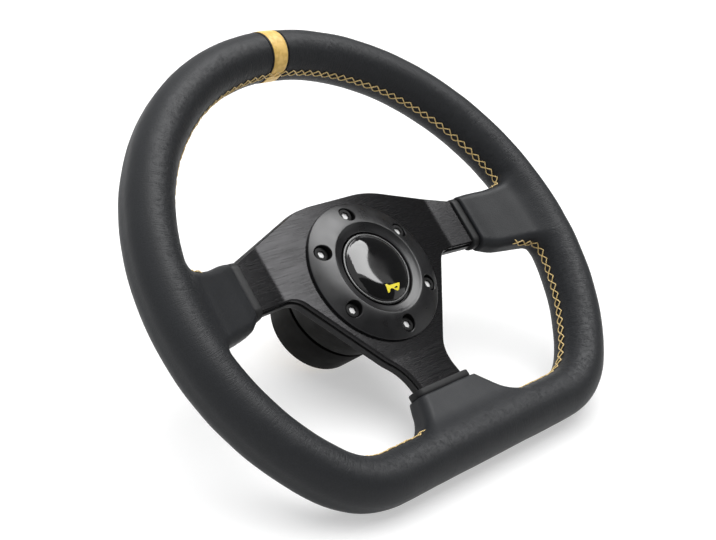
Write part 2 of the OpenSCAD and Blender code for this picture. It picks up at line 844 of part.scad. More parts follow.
// Return spring between the housing's floor and the cap
module button_spring() {
    sides = 6;
    steps = 16 * spring_turns;
    rise = deck_z - floor_z - wire_d;
    points = [for (i = [0:steps], k = [0:sides - 1]) let (
        a = 360 * spring_turns * i / steps,
        b = 360 * k / sides,
        q = spring_r + wire_d / 2 * cos(b)
    ) [q * cos(a), q * sin(a), floor_z + wire_d / 2 + rise * i / steps + wire_d / 2 * sin(b)]];
    sweep = [for (i = [0:steps - 1], k = [0:sides - 1]) let (j = (k + 1) % sides, o = i * sides)
        [o + k, o + sides + k, o + sides + j, o + j]];
    color([0.7, 0.71, 0.72]) facing() polyhedron(points, concat(
        sweep,
        [[for (k = [0:sides - 1]) k]],
        [[for (k = [sides - 1:-1:0]) steps * sides + k]]
    ), convexity = 8);
}

// Retaining clip in the groove of the post
module button_clip() {
    color([0.62, 0.63, 0.64]) facing() translate([0, 0, clip_z]) difference() {
        cylinder(h = clip_t, r = clip_r);
        translate([0, 0, -eps]) cylinder(h = clip_t + 2 * eps, r = post_d / 2 - clip_in + fit);
    }
}

// Turned hub with the column bore, the nut chamber and the bolt flange
module hub_boss() {
    body = hub_d / 2;
    flange = flange_d / 2;
    neck = hub_l - flange_t - (flange - body);
    color([0.66, 0.67, 0.68]) facing() difference() {
        rotate_extrude() polygon([
            [bore_d / 2, 0], [seat_r, 0], [seat_r, carrier_l], [body, carrier_l], [body, neck],
            [flange, hub_l - flange_t], [flange, hub_l], [tube_r + 4 * fit, hub_l],
            [tube_r + 4 * fit, chamber_z], [nut_d / 2, chamber_z], [nut_d / 2, bore_l],
            [bore_d / 2, bore_l]
        ]);
        at_bolts() translate([0, 0, bolt_tip - eps])
            cylinder(h = flange_t + 2 * eps, d = bolt_d + fit);
    }
}

// Front cover of the hub, against the spoke frame
module boss_cover() {
    color([0.09, 0.09, 0.095]) facing() rotate_extrude($fn = 96) polygon([
        [cover_r0, cover_z], [cover_r0 - cover_t, cover_z],
        [cover_d / 2 - cover_t, hub_l], [cover_d / 2, hub_l]
    ]);
}

// Rear collar of the hub
module boss_collar() {
    r0 = collar_d0 / 2;
    r1 = collar_d1 / 2;
    color([0.09, 0.09, 0.095]) facing() rotate_extrude($fn = 96) polygon([
        [hub_d / 2 + fit, 0], [r0, 0], [r1, collar_l], [r1 - cover_t, collar_l],
        [r0 + (r1 - r0) * collar_web / collar_l - cover_t, collar_web], [hub_d / 2 + fit, collar_web]
    ]);
}

// Insulating ring in the hub's rear end that carries the slip ring
module slip_ring_carrier() {
    color([0.14, 0.13, 0.12]) facing() rotate_extrude() polygon([
        [seat_r + fit, carrier_z], [slip_r0, carrier_z], [slip_r0, slip_z + slip_t],
        [slip_r1, slip_z + slip_t], [slip_r1, carrier_z], [hub_d / 2, carrier_z],
        [hub_d / 2, carrier_l], [seat_r + fit, carrier_l]
    ]);
}

// Brass ring that picks up the horn current
module slip_ring() {
    color([0.8, 0.64, 0.32]) facing() translate([0, 0, slip_z]) difference() {
        cylinder(h = slip_t, r = slip_r1);
        translate([0, 0, -eps]) cylinder(h = slip_t + 2 * eps, r = slip_r0);
    }
}

rim_core();
rim_padding();
rim_leather();
centre_band();
stitching_top();
stitching_right();
stitching_left();
sleeve_right();
sleeve_left();
sleeve_bottom();
cuff_right();
cuff_left();
cuff_bottom();
spoke_plate();
spoke_frame();
horn_ring();
ring_bolts();
button_housing();
button_cap();
button_dome();
horn_symbol();
contact_disc();
button_spring();
button_clip();
contact_ring();
terminal_live();
terminal_earth();
hub_boss();
boss_cover();
boss_collar();
slip_ring_carrier();
slip_ring();
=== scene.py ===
"""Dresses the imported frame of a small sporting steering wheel.

The frame gives the true sizes, the bodies and the places. Every shape here is worked out in the
wheel's own disc frame in millimetres: x to the right, y to 12 o'clock and z towards the driver,
counted from the rear seat of the hub. It is turned into the frame's metres when a mesh is made.
"""

import logging
import math
from dataclasses import dataclass, field
from enum import Enum
from typing import Optional, Sequence, Union

import bpy
import numpy as np
from mathutils import Matrix, Vector
from mathutils.geometry import delaunay_2d_cdt


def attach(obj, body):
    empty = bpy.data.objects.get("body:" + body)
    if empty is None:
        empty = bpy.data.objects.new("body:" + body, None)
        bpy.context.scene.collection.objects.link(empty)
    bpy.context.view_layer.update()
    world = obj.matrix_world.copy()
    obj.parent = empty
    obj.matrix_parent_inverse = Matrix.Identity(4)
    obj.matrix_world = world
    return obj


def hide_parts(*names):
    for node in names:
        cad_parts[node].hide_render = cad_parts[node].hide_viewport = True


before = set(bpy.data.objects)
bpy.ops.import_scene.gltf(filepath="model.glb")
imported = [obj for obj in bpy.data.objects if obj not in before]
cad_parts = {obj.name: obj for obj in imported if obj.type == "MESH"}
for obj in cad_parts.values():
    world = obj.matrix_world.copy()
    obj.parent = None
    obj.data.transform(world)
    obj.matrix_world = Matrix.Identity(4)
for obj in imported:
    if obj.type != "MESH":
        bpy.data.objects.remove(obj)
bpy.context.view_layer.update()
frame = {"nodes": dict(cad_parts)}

LOG = logging.getLogger("wheel")
MM = 0.001
# Middle of the wheel in the frame's metres, which lamps and cards face.
AIM = (0.0, -0.065, 0.0)
Array = np.ndarray
Socket = bpy.types.NodeSocket
Value = Union[Socket, float]
Pair = tuple[float, float]
Triple = tuple[float, float, float]
Colour = Triple


class Body(Enum):
    """The bodies that a piece can ride on."""

    WHEEL = "wheel"
    BUTTON = "button"


class Ray(Enum):
    """The kinds of ray that a lamp can be hidden from."""

    DIFFUSE = "visible_diffuse"
    GLOSSY = "visible_glossy"


# Shapes on grids


@dataclass
class Surface:
    """Points in the disc frame with the faces that join them.

    Attributes:
        points: Array of shape (n, 3), in millimetres.
        faces: Arrays of quads or triangles, as indices of points.
        values: Named numbers, one for each point.
    """

    points: Array
    faces: list[Array]
    values: dict[str, Array] = field(default_factory=dict)

    def volume(self) -> float:
        """Sums the signed volumes of the tetrahedra between the origin and each face's fan.

        Returns:
            The volume in cubic millimetres, negative when the faces look inwards.
        """
        total = 0.0
        for group in self.faces:
            for k in range(1, group.shape[1] - 1):
                a, b, c = (self.points[group[:, j]] for j in (0, k, k + 1))
                total += float(np.einsum("ij,ij->i", a, np.cross(b, c)).sum()) / 6
        return total

    def outward(self) -> "Surface":
        """Turns every face round when the closed surface is inside out.

        Returns:
            The same surface, with its faces outwards.
        """
        if self.volume() < 0:
            self.faces = [group[:, ::-1] for group in self.faces]
        return self

    @staticmethod
    def joined(parts: Sequence["Surface"]) -> "Surface":
        """Puts several surfaces into one, with no points shared between them.

        Args:
            parts: The surfaces, which all carry the same named numbers.

        Returns:
            One surface.
        """
        starts = np.cumsum([0] + [len(p.points) for p in parts])
        faces = [f + s for p, s in zip(parts, starts) for f in p.faces]
        values = {k: np.concatenate([p.values[k] for p in parts]) for k in parts[0].values}
        return Surface(np.concatenate([p.points for p in parts]), faces, values)


def grid_faces(rows: int, columns: int, wrap_rows: bool, wrap_columns: bool) -> Array:
    """Joins a grid of points into quads.

    Args:
        rows: Number of rows.
        columns: Number of columns.
        wrap_rows: Whether the last row joins the first.
        wrap_columns: Whether the last column joins the first.

    Returns:
        Quads as an array of shape (m, 4).
    """
    i = np.arange(rows if wrap_rows else rows - 1)[:, None]
    j = np.arange(columns if wrap_columns else columns - 1)[None, :]
    i2, j2 = (i + 1) % rows, (j + 1) % columns
    quads = np.stack([i * columns + j, i2 * columns + j, i2 * columns + j2, i * columns + j2], -1)
    return quads.reshape(-1, 4)


def circle(count: int) -> Array:
    """Gives even angles round a full turn, from 0."""
    return 2 * math.pi * np.arange(count) / count


def unit(rows: Array) -> Array:
    """Divides vectors by their lengths."""
    return rows / np.linalg.norm(rows, axis=-1, keepdims=True)


def raised(flat: Array, height: Array) -> Array:
    """Gives each point of a plane its height."""
    return np.concatenate([flat, height[:, None]], 1)


def box_distance(a: Array, b: Array) -> Array:
    """Joins the distances to two sides at right angles into the distance to their corner."""
    return np.hypot(np.maximum(a, 0), np.maximum(b, 0)) + np.minimum(np.maximum(a, b), 0)


def capped_grid(points: Array, first: Optional[Array], last: Optional[Array]) -> Surface:
    """Closes a grid that runs round a closed curve with a pole at either end.

    Args:
        points: Grid of shape (rows, columns, 3), closed along its columns.
        first: Pole before the first row, or None to leave that end to the last row.
        last: Pole after the last row, or None.

    Returns:
        The closed surface. Without poles the last row joins the first.
    """
    rows, columns = points.shape[:2]
    ring = first is None and last is None
    flat = points.reshape(-1, 3)
    faces = [grid_faces(rows, columns, ring, True)]
    j = np.arange(columns)
    j2 = (j + 1) % columns
    for pole, row, flip in ((first, 0, False), (last, rows - 1, True)):
        if pole is None:
            continue
        flat = np.concatenate([flat, np.asarray(pole, float)[None]])
        tip = np.full(columns, len(flat) - 1)
        a, b = row * columns + j, row * columns + j2
        faces.append(np.stack([tip, b, a] if flip else [tip, a, b], -1))
    return Surface(flat, faces).outward()


def plugged(grid: Array) -> Surface:
    """Closes a grid with a pole in the middle of its first row and of its last."""
    return capped_grid(grid, grid[0].mean(0), grid[-1].mean(0))


def eased(profile: Sequence[Triple], steps: int = 4, closed: bool = True) -> Array:
    """Rounds the corners of a profile.

    Each corner P becomes the quadratic curve (1-t)(1-t)A + 2t(1-t)P + ttB between the points A and
    B that lie the corner's own distance before and after it.

    Args:
        profile: Points as radius, height and the distance over which the corner is rounded.
        steps: Number of parts of each rounded corner.
        closed: Whether the last point joins the first.

    Returns:
        Array of shape (n, 2).
    """
    data = np.asarray(profile, float)
    p, cut = data[:, :2], data[:, 2]
    before, after = np.roll(p, 1, 0) - p, np.roll(p, -1, 0) - p
    len_a, len_b = np.linalg.norm(before, axis=1), np.linalg.norm(after, axis=1)
    cut = np.minimum(cut, 0.48 * np.minimum(len_a, len_b))
    if not closed:
        cut[[0, -1]] = 0
    a = p + before / len_a[:, None] * cut[:, None]
    b = p + after / len_b[:, None] * cut[:, None]
    t = np.linspace(0, 1, steps + 1)[None, :, None]
    curve = (1 - t) ** 2 * a[:, None] + 2 * t * (1 - t) * p[:, None] + t**2 * b[:, None]
    points = curve.reshape(-1, 2)
    keep = np.linalg.norm(points - np.roll(points, 1, 0), axis=1) > 1e-6
    keep[0] = keep[0] or not closed
    return points[keep]


def revolved(profile: Array, segments: int = 128) -> Surface:
    """Carries a profile once round the axis: x = r cos a, y = r sin a, z = height.

    Args:
        profile: Radius and height of each point. Points on the axis become poles, and a profile
            without them closes on itself.
        segments: Number of steps round the axis.

    Returns:
        The closed surface.
    """
    a = circle(segments)
    off = profile[:, 0] > 1e-6
    r, z = profile[off, 0][:, None], profile[off, 1][:, None]
    grid = np.stack([r * np.cos(a), r * np.sin(a), z + 0 * a], -1)
    first = np.array([0, 0, profile[0, 1]]) if not off[0] else None
    last = np.array([0, 0, profile[-1, 1]]) if not off[-1] else None
    return capped_grid(grid, first, last)


def resampled(line: Array, step: float, closed: bool = False) -> Array:
    """Puts points at even distances along a polyline.

    Args:
        line: Array of shape (n, d).
        step: Wanted distance between neighbours.
        closed: Whether the line returns to its first point, which is then not repeated.

    Returns:
        Array of shape (m, d).
    """
    path = np.concatenate([line, line[:1]]) if closed else line
    far = np.concatenate([[0], np.cumsum(np.linalg.norm(np.diff(path, axis=0), axis=1))])
    count = max(2, int(round(far[-1] / step)) + 1)
    at = np.linspace(0, far[-1], count)
    out = np.stack([np.interp(at, far, path[:, k]) for k in range(path.shape[1])], -1)
    return out[:-1] if closed else out


def smooth_min(a: Array, b: Array, k: float) -> Array:
    """Joins two distance fields with a fillet: mix(b, a, h) - k h (1 - h), h = 1/2 + (b - a) / 2k.

    Args:
        a: First field.
        b: Second field.
        k: Width of the fillet in millimetres.

    Returns:
        The joined field.
    """
    h = np.clip(0.5 + 0.5 * (b - a) / k, 0, 1)
    return b + (a - b) * h - k * h * (1 - h)


def triangulated(edge: Array, hole: Array, inner: Array) -> tuple[Array, Array]:
    """Joins an outline, a hole's edge and points between them by Delaunay triangles.

    Args:
        edge: Points of the outline.
        hole: Points of the hole's edge.
        inner: Further points.

    Returns:
        The points in the order given, and the triangles, those outside the outline too.
    """
    n, m = len(edge), len(hole)
    rings = closed_pairs(n, 0) + closed_pairs(m, n)
    given = [Vector(q) for q in np.concatenate([edge, hole, inner])]
    points, _, faces, *_ = delaunay_2d_cdt(given, rings, [], 0, 1e-6)
    return np.array([tuple(q) for q in points]), np.array(faces)


def closed_pairs(count: int, first: int) -> list[tuple[int, int]]:
    """Gives the pairs of neighbours in a closed ring of points numbered from first."""
    return [(first + i, first + (i + 1) % count) for i in range(count)]


def within(edge: Array, points: Array) -> Array:
    """Tests which points lie in an outline, by counting the edges to their right.

    Args:
        edge: Points of the outline, of shape (n, 2).
        points: Array of shape (m, 2).

    Returns:
        One truth value for each point.
    """
    a, b = edge, np.roll(edge, -1, 0)
    spans = (a[None, :, 1] > points[:, None, 1]) != (b[None, :, 1] > points[:, None, 1])
    drop = np.where(b[:, 1] == a[:, 1], 1.0, b[:, 1] - a[:, 1])
    cut = a[:, 0] + (points[:, None, 1] - a[:, 1]) * (b[:, 0] - a[:, 0]) / drop
    return (spans & (cut > points[:, None, 0])).sum(1) % 2 == 1


def gathered(
    items: bpy.types.bpy_prop_collection, key: str, width: int = 3, kind: type = np.float32
) -> Array:
    """Reads one property of a mesh's items.

    Args:
        items: The items, such as the mesh's vertices.
        key: Name of the property.
        width: How many numbers it has.
        kind: Type of the numbers.

    Returns:
        Array of shape (n, width).
    """
    out = np.empty(len(items) * width, kind)
    items.foreach_get(key, out)
    return out.reshape(-1, width)


def turned(rows: Array) -> Array:
    """Turns rows (x, y, z) of the disc frame into the frame's (x, -z, y)."""
    return np.stack([rows[:, 0], -rows[:, 2], rows[:, 1]], -1)


def linked(name: str, data: bpy.types.ID) -> bpy.types.Object:
    """Makes an object that shows the data and links it into the scene.

    Args:
        name: Name of the object.
        data: Its mesh, lamp or camera.

    Returns:
        The object.
    """
    made = bpy.data.objects.new(name, data)
    bpy.context.scene.collection.objects.link(made)
    return made


def make_mesh(name: str, surface: Surface) -> bpy.types.Mesh:
    """Turns a surface into a Blender mesh in the frame's metres, with (x, y, z) at (x, -z, y).

    Args:
        name: Name of the mesh.
        surface: The surface in the disc frame.

    Returns:
        The mesh, with the surface's named numbers as attributes.
    """
    placed = turned(surface.points) * MM
    mesh = bpy.data.meshes.new(name)
    mesh.vertices.add(len(placed))
    mesh.vertices.foreach_set("co", placed.astype(np.float32).ravel())
    sizes = np.concatenate([np.full(len(f), f.shape[1]) for f in surface.faces])
    corners = np.concatenate([f.ravel() for f in surface.faces]).astype(np.int32)
    mesh.loops.add(len(corners))
    mesh.loops.foreach_set("vertex_index", corners)
    mesh.polygons.add(len(sizes))
    starts = np.concatenate([[0], np.cumsum(sizes)[:-1]]).astype(np.int32)
    mesh.polygons.foreach_set("loop_start", starts)
    mesh.update(calc_edges=True)
    mesh.validate()
    for key, value in surface.values.items():
        mesh.attributes.new(key, "FLOAT", "POINT").data.foreach_set("value", value.astype(np.float32))
    return mesh


def place(
    name: str,
    surface: Surface,
    finish: "Finish",
    body: Body = Body.WHEEL,
    replaces: Sequence[str] = (),
    crease: float = 32.0,
    normals: Optional[Array] = None,
) -> bpy.types.Object:
    """Makes a piece, dresses it and hangs it on its body.

    Args:
        name: Name of the piece.
        surface: Its shape in the disc frame.
        finish: What it is made of.
        body: The body that it moves with.
        replaces: CAD nodes that it stands for.
        crease: Angle in degrees over which an edge stays sharp.
        normals: Exact normals of the points in the disc frame, where the shape has them.

    Returns:
        The object.
    """
    mesh = make_mesh(name, surface)
    mesh.shade_smooth()
    if normals is None:
        mesh.set_sharp_from_angle(angle=math.radians(crease))
    else:
        mesh.normals_split_custom_set_from_vertices(turned(normals).tolist())
    mesh.materials.append(finish.material())
    piece = linked(name, mesh)
    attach(piece, body.value)
    if replaces:
        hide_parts(*replaces)
    LOG.info("%s: %d points, %d faces", name, len(mesh.vertices), len(mesh.polygons))
    return piece


# Finishes


def toned(colour: Colour, red: float, green: float, blue: float) -> Colour:
    """Multiplies a colour's parts by factors."""
    return colour[0] * red, colour[1] * green, colour[2] * blue


class Graph:
    """Builds the node tree of a material or of the world."""

    def __init__(self, owner: Union[bpy.types.Material, bpy.types.World]) -> None:
        """Empties the owner's tree and adds its output.

        Args:
            owner: The material or the world.
        """
        owner.use_nodes = True
        self.tree = owner.node_tree
        self.tree.nodes.clear()
        kind = "World" if isinstance(owner, bpy.types.World) else "Material"
        self.output = self.node(f"ShaderNodeOutput{kind}")

    def node(self, kind: str, inputs: Optional[dict] = None, **settings: object) -> bpy.types.Node:
        """Adds a node.

        Args:
            kind: Blender's name of the node type.
            inputs: Values or sockets for its inputs, by name or number.
            settings: Properties of the node, by name.

        Returns:
            The node.
        """
        made = self.tree.nodes.new(kind)
        for key, value in settings.items():
            setattr(made, key, value)
        for key, value in (inputs or {}).items():
            self.feed(made.inputs[key], value)
        return made

    def feed(self, socket: Socket, value: Union[Value, Sequence[float]]) -> None:
        """Links a socket to another, or sets its constant.

        Args:
            socket: The input.
            value: A socket or a constant.
        """
        if isinstance(value, bpy.types.NodeSocket):
            self.tree.links.new(value, socket)
        elif socket.type == "RGBA":
            socket.default_value = (*value[:3], 1.0)
        else:
            socket.default_value = value

    def close(self, shader: bpy.types.Node) -> None:
        """Links a shader to the output."""
        self.feed(self.output.inputs["Surface"], shader.outputs[0])

    def calc(self, operation: str, *values: Value) -> Socket:
        """Adds a maths node of one to three values and gives its result."""
        return self.node("ShaderNodeMath", dict(enumerate(values)), operation=operation).outputs[0]

    def times(self, a: Value, b: Value) -> Socket:
        """Multiplies two values."""
        return self.calc("MULTIPLY", a, b)

    def plus(self, a: Value, b: Value) -> Socket:
        """Adds two values."""
        return self.calc("ADD", a, b)

    def coordinates(self, scale: Sequence[float] = (1000, 1000, 1000)) -> Socket:
        """Gives the object's coordinates times a scale for each axis, by default in millimetres."""
        source = self.node("ShaderNodeTexCoord").outputs["Object"]
        return self.node("ShaderNodeVectorMath", {0: source, 1: scale}, operation="MULTIPLY").outputs[0]

    def attribute(self, name: str) -> Socket:
        """Gives one of the piece's named numbers."""
        return self.node("ShaderNodeAttribute", attribute_name=name).outputs["Fac"]

    def vector(self, x: Value, y: Value) -> Socket:
        """Puts two numbers into a vector."""
        return self.node("ShaderNodeCombineXYZ", {0: x, 1: y}).outputs[0]

    def noise(self, vector: Socket, scale: float, detail: float = 2.0, rough: float = 0.5) -> Socket:
        """Adds smooth noise and gives its value, about one half on average."""
        inputs = {"Vector": vector, "Scale": scale, "Detail": detail, "Roughness": rough}
        return self.node("ShaderNodeTexNoise", inputs).outputs[0]

    def cells(self, vector: Socket, scale: float) -> Socket:
        """Adds a cell pattern and gives the distance in it."""
        return self.node("ShaderNodeTexVoronoi", {"Vector": vector, "Scale": scale}).outputs["Distance"]

    def ramp(self, value: Socket, low: float, high: float, first: float = 0.0, last: float = 1.0) -> Socket:
        """Maps low to high on to first to last, smoothly and clamped."""
        inputs = {"Value": value, "From Min": low, "From Max": high, "To Min": first, "To Max": last}
        return self.node("ShaderNodeMapRange", inputs, interpolation_type="SMOOTHSTEP").outputs[0]

    def blend(self, factor: Socket, a: Union[Socket, Colour], b: Union[Socket, Colour]) -> Socket:
        """Mixes two colours by a factor."""
        return self.node("ShaderNodeMix", {0: factor, 6: a, 7: b}, data_type="RGBA").outputs[2]

    def rays(self, *kinds: str) -> Socket:
        """Tells the rays of the named kinds from all others.

        Args:
            kinds: Blender's names of the kinds.

        Returns:
            1 for rays of those kinds, 0 for others.
        """
        outputs = self.node("ShaderNodeLightPath").outputs
        total = outputs[f"Is {kinds[0]} Ray"]
        for kind in kinds[1:]:
            total = self.calc("MAXIMUM", total, outputs[f"Is {kind} Ray"])
        return total

    def bump(self, height: Socket, depth: float, normal: Optional[Socket] = None) -> Socket:
        """Adds a bump.

        Args:
            height: Height from 0 to 1.
            depth: Depth of the bump in millimetres.
            normal: Normal of another bump under it, if any.

        Returns:
            The bent normal.
        """
        inputs = {"Height": height, "Distance": depth * MM, "Strength": 1.0}
        if normal is not None:
            inputs["Normal"] = normal
        return self.node("ShaderNodeBump", inputs).outputs[0]

    def dress(self, **sockets: Union[Value, Sequence[float]]) -> None:
        """Closes the tree with a principled shader.

        Args:
            sockets: Values of its inputs, whose names are in lower case and joined by underscores.
        """
        shader = self.node("ShaderNodeBsdfPrincipled")
        names = {s.name.lower().replace(" ", "_"): s for s in shader.inputs}
        for key, value in sockets.items():
            self.feed(names[key], value)
        self.close(shader)


@dataclass(frozen=True)
class Finish:
    """What a piece is made of. Each kind of finish builds its own nodes.

    Attributes:
        name: Name of the material.
        slot: The record's material slot; not used.
        colour: Base colour, linear.
    """

    name: str
    slot: str
    colour: Colour

    def material(self) -> bpy.types.Material:
        """Gives the finish's material, which is made the first time.

        Returns:
            The material.
        """
        found = bpy.data.materials.get(self.name)
        if found is None:
            found = bpy.data.materials.new(self.name)
            self.build(Graph(found))
        return found

    def build(self, graph: Graph) -> None:
        """Builds the nodes. Each kind of finish has its own."""
        graph.dress(base_color=self.colour)


@dataclass(frozen=True)
class Leather(Finish):
    """Grained leather with a soft sheen, and fine wrinkles across the seam where it is wrapped.

    Attributes:
        pebble: Size of the grain in millimetres.
        depth: Depth of the grain in millimetres.
        gloss: Roughness of the shiny spots.
        dull: Roughness of the matt spots.
        specular: Level of the reflection.
        wrinkled: Whether the piece carries the numbers along, across and wrap for its wrinkles.
    """

    pebble: float = 0.75
    depth: float = 0.035
    gloss: float = 0.5
    dull: float = 0.55
    specular: float = 0.2
    wrinkled: bool = False

    def build(self, graph: Graph) -> None:
        """Sums cell grain, broad unevenness and, across the seam, stretched noise.

        Args:
            graph: The material's node tree.
        """
        mm = graph.coordinates()
        grain, fine = graph.cells(mm, 1 / self.pebble), graph.noise(mm, 3.2, 3.0)
        broad, patch = graph.noise(mm, 0.09, 3.0), graph.noise(mm, 0.35, 2.0)
        normal = graph.bump(broad, 0.1)
        if self.wrinkled:
            along, across = graph.attribute("along"), graph.attribute("across")
            warp = graph.times(graph.noise(mm, 0.1, 1.0), 4.0)
            pulled = graph.vector(graph.plus(along, warp), graph.times(across, 0.07))
            folds = graph.noise(pulled, 0.8, 2.0, 0.6)
            crease = graph.ramp(graph.calc("ABSOLUTE", graph.calc("SUBTRACT", folds, 0.5)), 0.0, 0.08)
            reach = graph.times(graph.ramp(across, 4.0, 32.0, 1.0, 0.1), graph.attribute("wrap"))
            shown = graph.times(graph.ramp(patch, 0.3, 0.62), reach)
            normal = graph.bump(graph.times(graph.calc("SUBTRACT", crease, 1.0), shown), 0.18, normal)
        normal = graph.bump(grain, self.depth, normal)
        mixed = graph.plus(graph.times(patch, 0.6), graph.times(fine, 0.4))
        darker = toned(self.colour, 0.82, 0.82, 0.82)
        graph.dress(
            base_color=graph.blend(graph.ramp(grain, 0.15, 0.75), self.colour, darker),
            roughness=graph.ramp(mixed, 0.3, 0.7, self.gloss, self.dull),
            normal=graph.bump(fine, self.depth * 0.35, normal),
            specular_ior_level=self.specular,
        )


@dataclass(frozen=True)
class BandLeather(Finish):
    """Golden leather of the marker band, with its dark turned edges, made darker still as painted shade of
    the seam grooves.

    Attributes:
        edge: Colour of the edges, partly their own dark and partly painted shade of the seam grooves.
        half: Half of the golden width in millimetres.
    """

    # Near black: the edges' own dark and painted shade of the seam grooves.
    edge: Colour = (0.003, 0.0028, 0.0026)
    half: float = 5.35

    def build(self, graph: Graph) -> None:
        """Splits the colour by the number across, and adds fine grain.

        Args:
            graph: The material's node tree.
        """
        mm = graph.coordinates()
        cloud = graph.noise(mm, 0.3, 3.0)
        warm = toned(self.colour, 0.8, 0.76, 0.62)
        gold = graph.blend(graph.ramp(cloud, 0.35, 0.65), self.colour, warm)
        # Beyond half across comes the near-black edge colour: the edges' own dark with painted shade of the
        # seam grooves.
        side = graph.calc("ABSOLUTE", graph.attribute("across"))
        side = graph.ramp(side, self.half - 0.1, self.half + 0.1)
        graph.dress(
            base_color=graph.blend(side, gold, self.edge),
            roughness=graph.calc("MAXIMUM", graph.ramp(cloud, 0.3, 0.7, 0.32, 0.45), side),
            normal=graph.bump(graph.cells(mm, 1.5), 0.03),
            specular_ior_level=0.15,
        )


@dataclass(frozen=True)
class Thread(Finish):
    """Twisted sewing thread, with its strands from the numbers along and around."""

    def build(self, graph: Graph) -> None:
        """Draws the strands as slanted waves: sin(2 pi (along / 0.9 mm + around)), with painted shade in the
        grooves between them.

        Args:
            graph: The material's node tree.
        """
        turn = graph.plus(graph.calc("DIVIDE", graph.attribute("along"), 0.9), graph.attribute("around"))
        lay = graph.ramp(graph.calc("SINE", graph.times(turn, 2 * math.pi)), -1.0, 1.0)
        cloud = graph.noise(graph.coordinates(), 0.7, 2.0)
        # Painted shade: darker in the grooves between the strands, where the wave is low, varied at random by
        # the cloud.
        low = graph.times(cloud, graph.calc("SUBTRACT", 1.0, lay))
        tone = graph.blend(low, self.colour, toned(self.colour, 0.6, 0.52, 0.4))
        graph.dress(base_color=tone, roughness=0.55, normal=graph.bump(lay, 0.06), sheen_weight=0.2)


@dataclass(frozen=True)
class Brushed(Finish):
    """Metal brushed along one axis.

    Attributes:
        grain: Scale of the brush marks along x, y and z, per metre.
        metallic: How much of a metal it looks.
        gloss: Roughness of the bright marks.
        dull: Roughness of the dark marks.
        depth: Depth of the marks in millimetres.
        specular: Level of the reflection of the part that isn't metal.
    """

    grain: Triple = (26.0, 2600.0, 2600.0)
    metallic: float = 0.85
    gloss: float = 0.3
    dull: float = 0.46
    depth: float = 0.012
    specular: float = 0.5

    def build(self, graph: Graph) -> None:
        """Stretches noise along the brushing for height, roughness and tone.

        Args:
            graph: The material's node tree.
        """
        fine = graph.noise(graph.coordinates(self.grain), 1.0, 3.0, 0.65)
        wide = graph.noise(graph.coordinates(tuple(g * 0.23 for g in self.grain)), 1.0, 2.0)
        both = graph.plus(graph.times(fine, 0.78), graph.times(wide, 0.22))
        dark, bright = toned(self.colour, 0.68, 0.68, 0.68), toned(self.colour, 1.35, 1.35, 1.35)
        graph.dress(
            base_color=graph.blend(graph.ramp(both, 0.36, 0.64), dark, bright),
            metallic=self.metallic,
            roughness=graph.ramp(both, 0.35, 0.65, self.dull, self.gloss),
            normal=graph.bump(both, self.depth),
            specular_ior_level=self.specular,
        )


@dataclass(frozen=True)
class Coated(Finish):
    """Painted, anodised or moulded surface with a fine even texture.

    Attributes:
        metallic: How much of a metal it looks.
        rough: Mean roughness.
        spread: How far the roughness wanders.
        texture: Size of the texture in millimetres.
        depth: Depth of the texture in millimetres.
        specular: Level of the reflection.
    """

    metallic: float = 0.0
    rough: float = 0.45
    spread: float = 0.06
    texture: float = 0.35
    depth: float = 0.01
    specular: float = 0.5

    def build(self, graph: Graph) -> None:
        """Uses fine noise for the texture, and broad noise for tone and roughness.

        Args:
            graph: The material's node tree.
        """
        mm = graph.coordinates()
        fine, broad = graph.noise(mm, 1 / self.texture, 3.0), graph.noise(mm, 0.12, 3.0)
        graph.dress(
            base_color=graph.blend(broad, toned(self.colour, 0.8, 0.8, 0.8), self.colour),
            metallic=self.metallic,
            roughness=graph.ramp(broad, 0.3, 0.7, self.rough - self.spread, self.rough + self.spread),
            normal=graph.bump(fine, self.depth),
            specular_ior_level=self.specular,
        )


